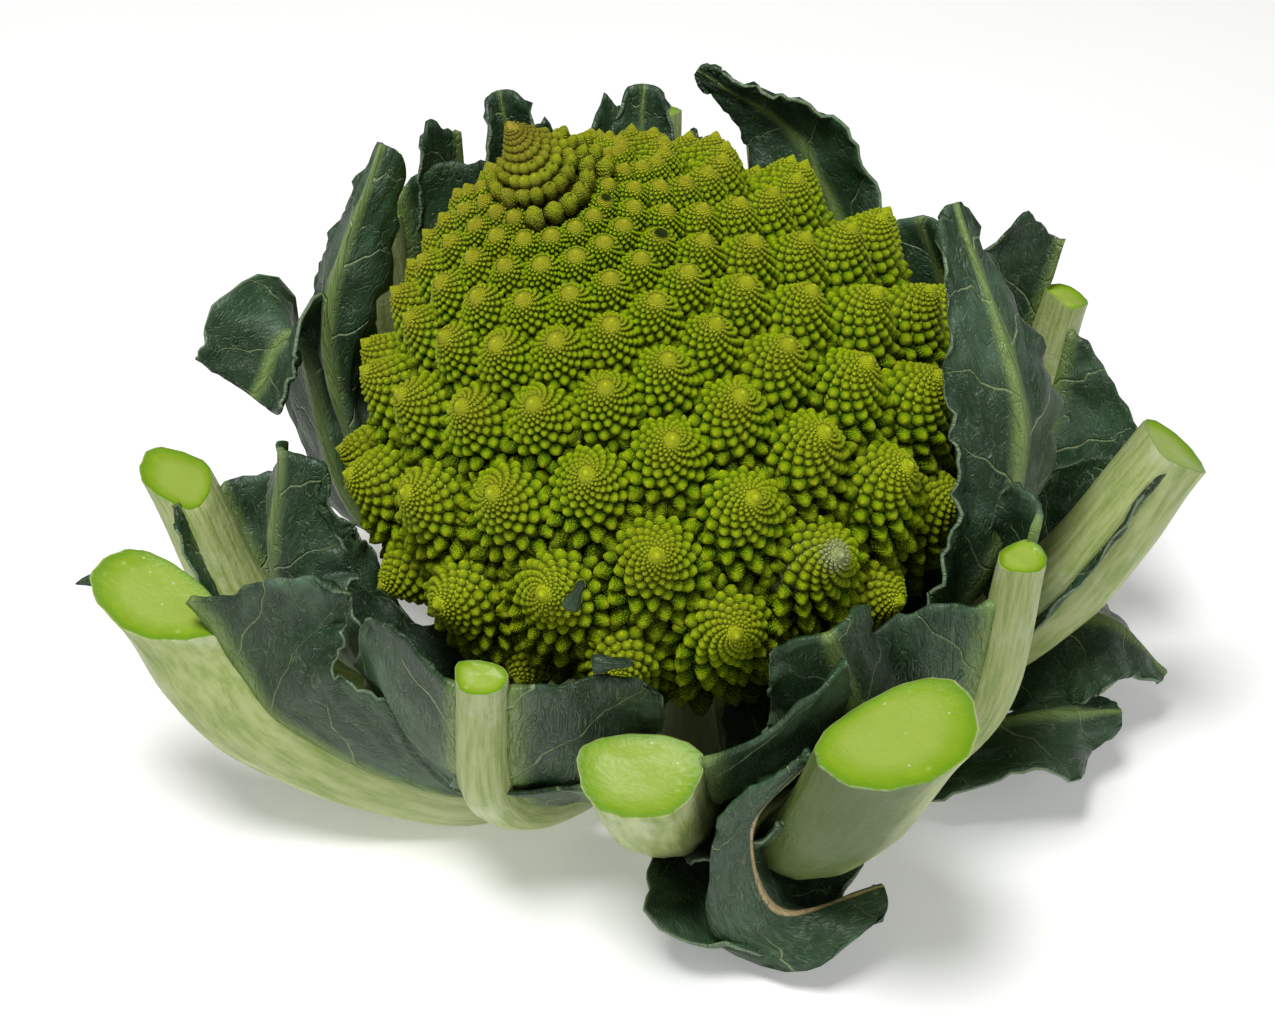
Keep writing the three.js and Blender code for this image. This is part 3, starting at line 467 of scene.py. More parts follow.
def blade_material(name, dark, light, bloom):
    """A leaf blade: main veins at whole numbers of the vein map, a net of fine veins, bloom."""
    material, tree, shader, here = new_material(name)
    veins = uv_map(tree, "veins")
    across = add(tree, "ShaderNodeSeparateXYZ", {0: uv_map(tree, "leaf")}).outputs["Y"]
    order = add(tree, "ShaderNodeSeparateXYZ", {0: veins}).outputs["X"]
    side = calculate(tree, "SUBTRACT", calculate(tree, "FRACT", order), 0.5)
    near = calculate(tree, "SUBTRACT", 0.5, calculate(tree, "ABSOLUTE", side))
    main = step(tree, near, between(tree, across, 0.036, 0.01), 0.0)
    bent = add(tree, "ShaderNodeTexNoise", {"Vector": veins, "Scale": 2.2, "Detail": 2.0})
    moved = add(tree, "ShaderNodeVectorMath", {0: veins, 1: bent.outputs["Color"]}, operation="ADD")
    moved = stretched(tree, moved.outputs["Vector"], (2.0, 1.3, 1.0))
    branches, net = [
        step(tree, add(tree, "ShaderNodeTexVoronoi", {"Vector": moved, "Scale": scale},
                       feature="DISTANCE_TO_EDGE").outputs["Distance"], width, 0.0)
        for scale, width in ((1.0, 0.045), (4.5, 0.12))]
    dust = place(tree, PATCHES, here, Scale=55.0, Low=0.48, High=0.78)
    dry = times(tree, attribute(tree, "dry"), step(tree, across, 0.96, 0.985))
    colour = layered(tree, colour_of(dark), [
        (place(tree, PATCHES, here, Scale=28.0, Low=0.3, High=0.72), 1, light),
        (dust, 0.6, bloom),
        (place(tree, PATCHES, here, Scale=95.0, Low=0.6, High=0.68), 0.5, "1e2f1f"),
        (net, 0.08, "7f9a78"),
        (branches, 0.2, "82996f"),
        (main, 0.75, "93a877"),
        (step(tree, across, 0.2, 0.0), 0.7, "8ba55a"),
        (step(tree, across, 0.98, 1.0), 0.5, "8fa582"),
        (dry, 1, "c9b184"),
    ])
    height = plus(tree, times(tree, main, -0.0005), times(tree, branches, -0.00022))
    height = plus(tree, height, times(tree, net, -0.00012))
    grain = noise(tree, here, 900.0, 4.0)
    connect(tree, shader, {"Base Color": colour, "Normal": relief(tree, height, grain, 0.00018),
                           "Roughness": between(tree, dust, 0.42, 0.62),
                           "Specular IOR Level": 0.45})
    return material


def rib_material(name, skin, skin_green, flesh):
    """A rib: lengthwise streaks on its skin, bloom, and a moist cut face inside a darker rim."""
    material, tree, shader, here = new_material(name)
    cut, inside = attribute(tree, "cut"), attribute(tree, "inside")
    streaks = noise(tree, stretched(tree, uv_map(tree, "skin"), (34.0, 3.0, 1.0)), 1.0, 4.0,
                    Roughness=0.6)
    flaking = place(tree, PATCHES, here, Scale=160.0, Low=0.38, High=0.5)
    colour = layered(tree, colour_of(skin), [
        (step(tree, streaks, 0.35, 0.7), 1, skin_green),
        (attribute(tree, "low"), 0.55, "d5dcb4"),
        (place(tree, PATCHES, here, Scale=70.0, Low=0.5, High=0.75), 0.4, "d3dcc0"),
        (attribute(tree, "green_side"), 0.85, "3d5316"),
        (times(tree, attribute(tree, "scab"), flaking), 1, "b3ab98"),
        (place(tree, SPECKS, here, Scale=130.0, Size=0.13, Share=0.07), 0.6, "84703c"),
    ])
    strands = place(tree, SPECKS, here, Scale=330.0, Size=0.3, Share=0.5)
    ring = times(tree, step(tree, inside, 0.1, 0.2), step(tree, inside, 0.5, 0.3))
    face = layered(tree, colour_of(flesh), [
        (place(tree, PATCHES, here, Scale=190.0, Low=0.35, High=0.7), 1, "86a61c"),
        (step(tree, inside, 0.14, 0.5), 0.8, "9cb24a"),
        (place(tree, SPECKS, here, Scale=520.0, Size=0.24, Share=0.05), 0.35, "e4ecc8"),
        (times(tree, strands, ring), 0.35, "b9cc70"),
        (step(tree, inside, 0.2, 0.03), 0.75, "5f8c06"),
    ])
    height = times(tree, times(tree, streaks, 0.0006), calculate(tree, "SUBTRACT", 1.0, cut))
    grain = noise(tree, here, 700.0, 4.0)
    connect(tree, shader, {
        "Base Color": blend(tree, cut, colour, face), "Roughness": between(tree, cut, 0.42, 0.4),
        "Normal": relief(tree, height, grain, 0.00025, 0.8), "Specular IOR Level": 0.3,
        "Subsurface Weight": 0.1, "Subsurface Radius": (0.002, 0.0025, 0.001),
        "Subsurface Scale": 1.0})
    return material


def floor_material():
    material, tree, shader, here = new_material("pale_floor")
    tone = place(tree, PATCHES, here, Scale=3.0, Low=0.3, High=0.7)
    connect(tree, shader, {"Base Color": layered(tree, colour_of("f4f4f2"), [(tone, 1, "f7f7f6")]),
                           "Roughness": 0.9, "Emission Color": (1.0, 1.0, 1.0, 1.0),
                           "Emission Strength": 0.25})
    return material


# Modelling by hand

def deselect():
    if bpy.context.object and bpy.context.object.mode != "OBJECT":
        bpy.ops.object.mode_set(mode="OBJECT")
    bpy.ops.object.select_all(action="DESELECT")


def activate(piece):
    deselect()
    piece.select_set(True)
    bpy.context.view_layer.objects.active = piece


def choose_faces(test):
    """Selects the faces of the object in edit mode whose centre and normal pass the test."""
    bpy.ops.mesh.select_all(action="DESELECT")
    bpy.ops.object.mode_set(mode="OBJECT")
    for face in bpy.context.object.data.polygons:
        face.select = bool(test(face.center, face.normal))
    bpy.ops.object.mode_set(mode="EDIT")


def points_of(mesh):
    points = np.empty(len(mesh.vertices) * 3)
    mesh.vertices.foreach_get("co", points)
    return points.reshape(-1, 3)


def give_points(mesh, points):
    mesh.vertices.foreach_set("co", np.ascontiguousarray(points, float).ravel())
    mesh.update()


def give_attribute(mesh, name, values):
    made = mesh.attributes.new(name, "FLOAT", "POINT")
    made.data.foreach_set("value", np.ascontiguousarray(values, np.float32).ravel())


def give_map(mesh, name, values):
    """A UV map with a pair of values for each corner of each face."""
    made = mesh.uv_layers.new(name=name)
    made.data.foreach_set("uv", np.ascontiguousarray(values, np.float32).ravel())


def corners_of(mesh):
    corners = np.empty(len(mesh.loops), int)
    mesh.loops.foreach_get("vertex_index", corners)
    return corners


def finish_piece(piece, name, material, slot, *nodes):
    piece.name = name
    piece.data.name = name
    piece.data.materials.clear()
    piece.data.materials.append(material)
    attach(piece, "root")
    if nodes:
        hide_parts(*nodes)


# The curd

def curd_profile():
    angles = np.radians(165) * np.arange(201) / 200
    upper = angles <= math.pi / 2
    out = CURD_RADIUS * np.where(upper, np.sin(angles) ** (2 / CONE_POWER), np.sin(angles))
    above = CURD_HEIGHT * np.maximum(np.cos(angles), 0) ** (2 / SHOULDER_POWER)
    dip = TIP_DIP * np.minimum(out / DIP_AT, 1) * (1 - ease(out, DIP_AT, DIP_END))
    up = np.where(upper, above - dip, CURD_DEPTH * np.cos(angles))
    way = np.concatenate([[0], np.cumsum(np.hypot(np.diff(out), np.diff(up)))])
    return out, up, way


PROFILE_OUT, PROFILE_UP, PROFILE_WAY = curd_profile()


def on_profile(way):
    """Distance out, height, and the outward normal in that plane, at a way from the tip."""
    after = np.clip(np.searchsorted(PROFILE_WAY, way, side="right"), 1, len(PROFILE_WAY) - 1)
    rise = PROFILE_UP[after - 1] - PROFILE_UP[after]
    run = PROFILE_OUT[after] - PROFILE_OUT[after - 1]
    slope = unit(np.stack([rise, run], axis=-1))
    out = np.interp(way, PROFILE_WAY, PROFILE_OUT)
    up = np.interp(way, PROFILE_WAY, PROFILE_UP)
    return out, up, slope


def middle_at(up):
    """The middle of the curd's level ring at a height above its centre."""
    share = (np.maximum(up, 0) / CURD_HEIGHT) ** BEND_POWER
    return CURD_CENTRE + UP * np.asarray(up)[..., None] + CURD_BEND * share[..., None]


def swell_at(up, angle):
    high = np.clip(up / CURD_HEIGHT, 0, 1)
    around = ((1 + np.cos(angle - SWELL_AT)) / 2) ** 2
    return 1 + SWELL * SWELL_SCALE * high ** 2 * (1 - high) * around


def florets_per_fold(way):
    """Florets while the way to the tip shrinks by a factor of e. They are fewer further down."""
    first, last = FLORETS_PER_FOLD
    return first + (last - first) * ease(way, FEWER_FROM, FEWEST_FROM)


def tip_distance(out, way):
    return np.sqrt(TURN * out * way / (florets_per_fold(way) * CELL_SHARE))


def curd_spiral(last_way):
    """Tips and directions of the florets, from under the widest ring to the curd's tip, and how
    far apart they are, which is the mean distance to the six nearest."""
    ways = [SPIRAL_START]
    while ways[-1] > last_way:
        ways.append(ways[-1] * math.exp(-1 / florets_per_fold(ways[-1])))
    way = np.array(ways)
    angle = np.arange(len(way)) * GOLDEN_ANGLE
    out, up, slope = on_profile(way)
    around = np.stack([np.cos(angle), np.sin(angle), 0 * angle], axis=-1)
    tip = middle_at(up) + around * (out * swell_at(up, angle))[:, None]
    bend = middle_at(up + 1) - middle_at(up)
    direction = around * slope[:, :1] + UP * slope[:, 1:]
    direction[:, 2] -= bend[:, 0] * direction[:, 0] + bend[:, 1] * direction[:, 1]
    direction = unit(unit(direction) + UP * FLORET_LEAN)
    gaps = np.linalg.norm(tip[:, None] - tip[None], axis=2)
    apart = np.sort(gaps, axis=1)[:, 1:7].mean(axis=1)
    return way, tip, direction, np.minimum(apart, 1.5 * tip_distance(out, way))


APEX = middle_at(np.array(float(CURD_HEIGHT)))


def floret_line(power, steps=400):
    """A floret's outline from its tip: the way along it, out and up, and its normal.
    All are in shares of the distance between tips. Past the widest place it turns down."""
    x = np.linspace(0, 1, steps)
    down = np.linspace(0, 1, 60)[1:]
    out = np.concatenate([FLORET_RADIUS * x, FLORET_RADIUS * (1 - 0.05 * down)])
    up = np.concatenate([FLORET_LENGTH * (1 - x ** power), -0.4 * FLORET_LENGTH * down])
    way = np.concatenate([[0], np.cumsum(np.hypot(np.diff(out), np.diff(up)))])
    return way, out, up, -np.gradient(up, way), np.gradient(out, way)


def on_line(line, way):
    return [np.interp(way, line[0], part) for part in line[1:]]


def floret_buds(line):
    """Places of the buds on a floret of size one, in a golden-angle spiral."""
    number = np.arange(int(BUDS_PER_FOLD * math.log(BUD_START / 0.02)))
    way = BUD_START * np.exp(-number / BUDS_PER_FOLD)
    angle = number * GOLDEN_ANGLE
    out, up, normal_out, normal_up = on_line(line, way)
    around = np.stack([np.cos(angle), np.sin(angle), 0 * angle], axis=-1)
    place_at = around * out[:, None] + UP * up[:, None]
    direction = around * normal_out[:, None] + UP * (normal_up + BUD_LEAN * (1 - normal_up))[:, None]
    apart = np.sqrt(TURN * out * way / (BUDS_PER_FOLD * CELL_SHARE))
    return way, place_at, unit(direction), apart


def template(mesh):
    """A mesh as arrays: points, triangles, and the spiral map for each corner."""
    mesh.calc_loop_triangles()
    triangles = np.empty(len(mesh.loop_triangles) * 3, int)
    mesh.loop_triangles.foreach_get("vertices", triangles)
    triangles = triangles.reshape(-1, 3)
    points = points_of(mesh)
    way = np.linalg.norm(points - [0, 0, points[:, 2].max()], axis=1)
    angle = np.arctan2(points[:, 1], points[:, 0]) / TURN
    corner_angle = angle[triangles]
    first = corner_angle[:, :1]
    corner_angle = corner_angle - np.round(corner_angle - first)
    centre = way[triangles] < 1e-6
    others = np.where(centre, 0, corner_angle).sum(1) / np.maximum((~centre).sum(1), 1)
    corner_angle = np.where(centre, others[:, None], corner_angle)
    folds = np.log(np.maximum(way, 0.02))[triangles]
    spiral = np.stack([corner_angle, folds], axis=-1)
    return {"points": points, "triangles": triangles, "way": way, "spiral": spiral,
            "high": np.clip(points[:, 2] / points[:, 2].max(), 0, 1)}


def round_bud(segments, rings, floor_at):
    """A bud of width one, with its foot cut away, drawn to a blunt tip."""
    deselect()
    bpy.ops.mesh.primitive_uv_sphere_add(segments=segments, ring_count=rings, radius=0.5)
    bud = bpy.context.object
    bpy.ops.object.mode_set(mode="EDIT")
    bpy.ops.mesh.select_all(action="SELECT")
    bpy.ops.mesh.bisect(plane_co=(0, 0, floor_at), plane_no=(0, 0, 1), clear_inner=True)
    bpy.ops.object.mode_set(mode="OBJECT")
    points = points_of(bud.data)
    high = np.clip(points[:, 2] / 0.5, 0, 1)
    drawn = (1 - high ** 1.8) ** 0.65 / np.maximum(1 - high ** 2, 1e-6) ** 0.5
    points[:, :2] *= np.where(high > 0, drawn, 1)[:, None]
    points[:, 2] = np.where(high > 0, 0.64 * high, points[:, 2])
    give_points(bud.data, points)
    made = template(bud.data)
    bpy.data.objects.remove(bud)
    return made


def knobbed_bud():
    """A large bud with small knobs of its own, in a spiral, with hollows between them."""
    deselect()
    knobs = [(0.0, 0.0, 0.95)]
    for k in range(20):
        out = 0.53 * math.exp(-k / 14)
        angle = k * GOLDEN_ANGLE
        high = 0.95 * (1 - (out / 0.56) ** 1.7)
        knobs.append((out * math.cos(angle), out * math.sin(angle), high))
    for k in range(6):
        knobs.append((0.4 * math.cos(k * TURN / 6), 0.4 * math.sin(k * TURN / 6), -0.3))
    mesh = bpy.data.meshes.new("bud")
    mesh.from_pydata(knobs, [], [])
    bud = bpy.data.objects.new("bud", mesh)
    bpy.context.collection.objects.link(bud)
    bpy.context.view_layer.objects.active = bud
    bud.select_set(True)
    bpy.ops.object.mode_set(mode="EDIT")
    bpy.ops.mesh.select_all(action="SELECT")
    bpy.ops.mesh.convex_hull()
    choose_faces(lambda centre, normal: centre.z > 0.02)
    bpy.ops.mesh.poke(offset=-0.06)
    bpy.ops.object.mode_set(mode="OBJECT")
    made = template(bud.data)
    bpy.data.objects.remove(bud)
    return made


def floret_cone(line):
    """The smooth body of a floret of size one, under its buds."""
    deselect()
    sides, rows = 20, 9
    bpy.ops.mesh.primitive_cone_add(vertices=sides, radius1=1, radius2=0, depth=1,
                                    location=(0, 0, 0.5), end_fill_type="NOTHING")
    cone = bpy.context.object
    bpy.ops.object.transform_apply(location=True, rotation=False, scale=False)
    bpy.ops.object.mode_set(mode="EDIT")
    for k in range(1, rows):
        bpy.ops.mesh.select_all(action="SELECT")
        bpy.ops.mesh.bisect(plane_co=(0, 0, 1 - (k / rows) ** 1.5), plane_no=(0, 0, 1))
    bpy.ops.object.mode_set(mode="OBJECT")
    points = points_of(cone.data)
    way = (1 - points[:, 2]) * line[0][-1]
    out, up, _, _ = on_line(line, way)
    angle = np.arctan2(points[:, 1], points[:, 0])
    points = np.stack([out * np.cos(angle), out * np.sin(angle), up], axis=-1)
    give_points(cone.data, points)
    made = template(cone.data)
    made["way"] = way
    folds = np.log(np.maximum(way, 0.012) / BUD_START)
    made["spiral"][..., 1] = folds[made["triangles"]]
    # Lowest at the cone's foot, where the floret material paints shade, and highest at its tip under
    # the painted highlight.
    made["high"] = 0.25 + 0.7 * ease(way, 0.8, 0.15)
    bpy.data.objects.remove(cone)
    return made


def turned(directions, twists):
    """For each direction the other two axes of a frame that is twisted about it."""
    helper = np.where(np.abs(directions[:, 2:]) < 0.9, UP, [1.0, 0.0, 0.0])
    side = unit(np.cross(helper, directions))
    front = np.cross(directions, side)
    first = side * np.cos(twists)[:, None] + front * np.sin(twists)[:, None]
    return first, np.cross(directions, first)


def copies(shape, places, directions, sizes, twists, floret, stain, scar):
    """Copies of a shape as one set of arrays, each turned along its direction."""
    count = len(places)
    first, second = turned(directions, twists)
    p = shape["points"]
    scaled = sizes[:, None, None]
    points = places[:, None, :] + scaled * (
        p[None, :, :1] * first[:, None] + p[None, :, 1:2] * second[:, None]
        + p[None, :, 2:] * directions[:, None])
    shift = (np.arange(count) * len(p))[:, None, None]
    per_point = np.ones((1, len(p)))
    return {
        "points": points.reshape(-1, 3),
        "triangles": (shape["triangles"][None] + shift).reshape(-1, 3),
        "spiral": np.broadcast_to(shape["spiral"], (count, *shape["spiral"].shape)).reshape(-1, 2),
        "bud": np.broadcast_to(shape["high"], (count, len(p))).ravel(),
        "reach": (sizes[:, None] * shape["way"][None] * MM).ravel(),
        "floret": (floret[:, None] * per_point).ravel(),
        "stain": (stain[:, None] * ease(shape["high"], 0.84, 0.95)[None]).ravel(),
        "scar": (scar[:, None] * per_point).ravel(),
    }


def join(sets):
    joined = {}
    start = 0
    triangles = []
    for one in sets:
        triangles.append(one["triangles"] + start)
        start += len(one["points"])
    joined["triangles"] = np.concatenate(triangles)
    for key in sets[0]:
        if key != "triangles":
            joined[key] = np.concatenate([one[key] for one in sets])
    return joined


def mesh_piece(name, arrays):
    triangles = arrays["triangles"]
    mesh = bpy.data.meshes.new(name)
    mesh.vertices.add(len(arrays["points"]))
    give_points(mesh, arrays["points"] * MM)
    mesh.loops.add(triangles.size)
    mesh.polygons.add(len(triangles))
    mesh.loops.foreach_set("vertex_index", triangles.ravel().astype(np.int32))
    mesh.polygons.foreach_set("loop_start", np.arange(0, triangles.size, 3, dtype=np.int32))
    mesh.update(calc_edges=True)
    mesh.polygons.foreach_set("use_smooth", np.ones(len(triangles), bool))
    give_map(mesh, "spiral", arrays["spiral"])
    for key in ("bud", "reach", "floret", "stain", "scar"):
        give_attribute(mesh, key, arrays[key])
    piece = bpy.data.objects.new(name, mesh)
    bpy.context.collection.objects.link(piece)
    return piece


def buried(points, owner, bases, axes, sizes, powers, margin):
    """Whether each point lies inside the body of a floret other than its own."""
    hidden = np.zeros(len(points), bool)
    for other in range(len(bases)):
        offset = points - bases[other]
        near = (np.abs(offset).max(axis=1) < sizes[other]) & (owner != other)
        if not near.any():
            continue
        high = offset[near] @ axes[other]
        wide = np.linalg.norm(offset[near] - high[:, None] * axes[other], axis=1)
        x = wide / (FLORET_RADIUS * sizes[other])
        room = FLORET_LENGTH * (1 - np.minimum(x, 1) ** powers[other]) * sizes[other]
        inside = (x < 1 - margin) & (high < room - margin * sizes[other])
        inside &= high > -0.5 * sizes[other]
        hidden[np.flatnonzero(near)[inside]] = True
    return hidden


# Florets that are marked: dark pits on single buds near the tip, and one broken floret.
PITTED = [128, 162, 167, 175, 180, 183, 188, 196, 201, 209, 214]
BROKEN = 31


def marked(numbers):
    return np.isin(numbers, PITTED).astype(float)


def curd_pieces(material):
    way, tips, axes, apart = curd_spiral(LAST_BUD)
    whole = (way >= LAST_FLORET) & (apart >= SMALLEST_FLORET)
    bases = tips - axes * (apart * FLORET_LENGTH)[:, None]
    shapes = [round_bud(5, 4, -0.2), round_bud(6, 5, -0.2), round_bud(8, 6, -0.25), knobbed_bud()]
    limits = [ROUND_BUD_FROM, FULL_BUD_FROM, KNOBBED_BUD_FROM]
    lines = [floret_line(power) for power in FLORET_POWERS]
    cones = [floret_cone(line) for line in lines]
    buds = [floret_buds(line) for line in lines]
    form = np.searchsorted(POWERS_FROM, apart)
    big = np.flatnonzero(whole)
    rows = []
    turns = np.stack([*turned(axes[big], big * 1.0), axes[big]], axis=1)
    for i, turn in zip(big, turns):
        bud_way, bud_place, bud_axis, bud_apart = buds[form[i]]
        large = bud_apart * apart[i] >= SMALLEST_BUD
        size = bud_apart[large] * apart[i]
        jitter = dice.normal(0, 0.06, (len(size), 3))
        place_at = bases[i] + (bud_place[large] * apart[i]) @ turn
        direction = unit(bud_axis[large] @ turn + jitter)
        deep = bud_way[large]
        rows.append((np.full(len(size), i), place_at, direction, size, deep))
    owner, places, directions, sizes, deep = [np.concatenate(parts) for parts in zip(*rows)]
    tops = places + directions * (sizes * 0.5)[:, None]
    owner_place = np.searchsorted(big, owner)
    powers = np.array(FLORET_POWERS)[form[big]]
    keep = ~buried(tops, owner_place, bases[big], axes[big], apart[big], powers, 0.04)
    owner, places, directions, sizes, deep = [
        part[keep] for part in (owner, places, directions, sizes, deep)]
    level = np.searchsorted(limits, sizes)
    level = np.where((way[owner] > 134) & (level == 3), 2, level)
    sizes_drawn = sizes * BUD_WIDTH * dice.normal(1, 0.05, len(sizes)).clip(0.88, 1.12)
    # 1 at a floret's tip and 0 at its foot: the material paints shade at the foot and light at the
    # tip.
    floret = 1 - deep / BUD_START
    single = np.flatnonzero(~whole)
    single_level = np.searchsorted(limits, apart[single])
    costs = np.array([len(shape["triangles"]) for shape in shapes])
    cone_cost = len(cones[0]["triangles"])
    total = costs[level].sum() + len(big) * cone_cost + costs[single_level].sum()
    cost_at = np.zeros(len(way))
    np.add.at(cost_at, owner, costs[level])
    cost_at[big] += cone_cost
    cost_at[single] += costs[single_level]
    piece_of = np.minimum((np.cumsum(cost_at) / total * CURD_PIECES).astype(int), CURD_PIECES - 1)
    for number in range(CURD_PIECES):
        sets = []
        for kind, cone in enumerate(cones):
            mine = big[(piece_of[big] == number) & (form[big] == kind)]
            if len(mine):
                sets.append(copies(cone, bases[mine], axes[mine], apart[mine], mine * 1.0,
                                   np.full(len(mine), 0.85), marked(mine),
                                   (mine == BROKEN) * 1.0))
        for kind, shape in enumerate(shapes):
            these = np.flatnonzero((piece_of[owner] == number) & (level == kind))
            if len(these):
                twists = dice.uniform(0, TURN, len(these))
                high = ease(floret[these], 0.82, 0.92)
                sets.append(copies(shape, places[these], directions[these], sizes_drawn[these],
                                   twists, floret[these], marked(owner[these]) * high,
                                   (owner[these] == BROKEN) * ease(floret[these], 0.8, 0.95)))
            alone = single[(piece_of[single] == number) & (single_level == kind)]
            if len(alone):
                foot = tips[alone] - axes[alone] * (apart[alone] * 0.66)[:, None]
                sets.append(copies(shape, foot, axes[alone], apart[alone] * 1.06, alone * 1.0,
                                   np.full(len(alone), 0.75), marked(alone), 0.0 * alone))
        if number == CURD_PIECES - 1:
            sets.append(core_arrays(tips, axes, apart))
        piece = mesh_piece(f"florets_{number + 1}", join(sets))
        finish_piece(piece, f"florets_{number + 1}", material, "floret", "curd")


def core_arrays(tips, axes, apart):
    """The body that the florets stand out of, from the tip down to the stem."""
    sides = 48
    angles = TURN * np.arange(sides) / sides
    around = np.stack([np.cos(angles), np.sin(angles), 0 * angles], -1)
    rings = []
    ways = np.concatenate([[0.8, 2, 4, 6, 8, 10, 13, 16], np.linspace(20, 140, 30)])
    for way in ways[::-1]:
        out, up, _ = on_profile(np.array([float(way)]))
        ring = middle_at(up) + around * (out * swell_at(up, angles))[:, None]
        near = np.argsort(np.linalg.norm(ring[:, None] - tips[None], axis=2), axis=1)[:, :4]
        inward = unit(axes[near].mean(axis=1))
        deep = (CORE_DEPTH - 0.35 * ease(way, 14, 5)) * apart[near].mean(axis=1)
        rings.append(ring - inward * np.minimum(deep, 0.8 * way + 1)[:, None])
    neck = [(np.array([0, 0, 34.0]), 18.0), (np.array([-3, 1, 48.0]), 33.0)]
    for middle, radius in neck[::-1]:
        rings.insert(0, middle + around * radius)
    count = len(rings)
    triangles = []
    for i in range(count - 1):
        for k in range(sides):
            a, b = i * sides + k, i * sides + (k + 1) % sides
            triangles += [(a, b, b + sides), (a, b + sides, a + sides)]
    top = count * sides
    for k in range(sides):
        triangles.append(((count - 1) * sides + k, (count - 1) * sides + (k + 1) % sides, top))
    points = np.concatenate([np.concatenate(rings), rings[-1].mean(0, keepdims=True)])
    triangles = np.array(triangles)
    size = len(points)
    # Bud and floret values of zero paint the core in the darkest painted shade of the hollows, and
    # its top rings a little lighter.
    high = np.zeros(size)
    high[-6 * sides:] = 0.3
    floret = np.zeros(size)
    floret[-6 * sides:] = 0.4
    return {"points": points, "triangles": triangles, "spiral": np.zeros((triangles.size, 2)),
            "bud": high, "reach": np.zeros(size), "floret": floret, "stain": np.zeros(size),
            "scar": np.zeros(size)}


# Leaves

def path_points(leaf, t):
    p = np.array(leaf["path"], float)
    p = np.vstack([2 * p[0] - p[1], p, 2 * p[3] - p[2]])

    def at_share(share):
        at = np.clip(share, 0, 1) * 3
        i = np.minimum(at.astype(int), 2)
        f = (at - i)[..., None]
        a, b, c, d = p[i], p[i + 1], p[i + 2], p[i + 3]
        return 0.5 * (2 * b + (c - a) * f + (2 * a - 5 * b + 4 * c - d) * f ** 2
                      + (3 * b - a - 3 * c + d) * f ** 3)

    t = np.asarray(t, float)
    end, before = at_share(np.array(1.0)), at_share(np.array(0.97))
    return at_share(t) + (end - before) * (np.maximum(t - 1, 0) / 0.03)[..., None]


def path_frame(leaf, t):
    """Points of the path at t, and there the directions along, across and out."""
    face = math.radians(leaf["face"])
    side = np.cross(UP, [math.cos(face), math.sin(face), 0.0])
    t = np.asarray(t, float)
    along = unit(path_points(leaf, t + 0.01) - path_points(leaf, np.maximum(t - 0.01, 0)))
    across = unit(side - along * (along @ side)[..., None])
    return path_points(leaf, t), along, across, np.cross(across, along)


def path_length(leaf):
    points = path_points(leaf, np.linspace(0, 1, 40))
    return np.linalg.norm(np.diff(points, axis=0), axis=1).sum()


def keep_out(points, extra):
    """Points inside the curd's room, pushed out of it level."""
    up = points[..., 2] - CURD_CENTRE[2]
    flat = points - middle_at(up)
    out = np.linalg.norm(flat, axis=-1)
    swell = swell_at(up, np.arctan2(flat[..., 1], flat[..., 0]))
    above = up > 0
    high = np.where(above, CURD_HEIGHT + extra, CURD_DEPTH + extra)
    p = np.where(above, CONE_POWER, 2.0)
    q = np.where(above, SHOULDER_POWER, 2.0)
    level = np.clip(np.abs(up) / high, 0, 1) ** q
    reach = (out / (CURD_RADIUS * swell + extra)) ** p + level
    room = (CURD_RADIUS * swell + extra) * (1 - level) ** (1 / p)
    push = np.where((reach < 1) & (out >= NEAR_AXIS), np.maximum(room - out, 0), 0)
    return points + unit(flat) * push[..., None]


def blade_way(across, out, sign, fold, curl, v):
    way = np.zeros(across.shape)
    for k in range(8):
        angle = np.radians(fold + curl * v * (k + 0.5) / 8)
        way += across * (sign * np.cos(angle) * v / 8)[..., None]
        way -= out * (np.sin(angle) * v / 8)[..., None]
    return way


def ripple(at, waves, seed):
    """A smooth wavy line from -1 to 1 with a number of waves over its length."""
    draw = np.random.default_rng(seed)
    total = 0 * at
    for share, size in ((1, 0.5), (1.7, 0.3), (2.9, 0.2)):
        total = total + size * np.sin(TURN * (waves * share * at + draw.uniform()))
    return total


def blade_grid(name, along, across):
    """A flat grid of unit size, made ready to be shaped as a blade."""
    deselect()
    bpy.ops.mesh.primitive_grid_add(x_subdivisions=along, y_subdivisions=across, size=2)
    piece = bpy.context.object
    piece.name = name
    for layer in list(piece.data.uv_layers):
        piece.data.uv_layers.remove(layer)
    points = points_of(piece.data)
    return piece, (points[:, 0] + 1) / 2, (points[:, 1] + 1) / 2


def surface_normals(points, i, j, rows, columns):
    """Normals of a grid of points, whose places in the grid are i and j."""
    table = np.zeros((rows, columns, 3))
    table[i, j] = points
    first = np.gradient(table, axis=0)
    second = np.gradient(table, axis=1)
    return unit(np.cross(first, second))[i, j]


def thicken(piece, weights, thick):
    """Gives the sheet its thickness, which follows the weights."""
    marks = piece.vertex_groups.new(name="thick")
    for index, weight in enumerate(weights):
        marks.add([index], float(weight), "REPLACE")
    wall = piece.modifiers.new("wall", "SOLIDIFY")
    wall.thickness = thick * MM
    wall.offset = 0
    wall.vertex_group = "thick"
    wall.thickness_vertex_group = 0.1
    activate(piece)
    bpy.ops.object.modifier_apply(modifier="wall")
    bpy.ops.object.shade_smooth()
    piece.vertex_groups.clear()


def thicken_blade(piece, crest, v, most):
    """Thickest at its crest, and thin at its edge, where v is 1."""
    thick = BLADE_THICK + (most - BLADE_THICK) * crest + (BLADE_EDGE - BLADE_THICK) * ease(v, 0.9, 1)
    thicken(piece, thick / most, most)


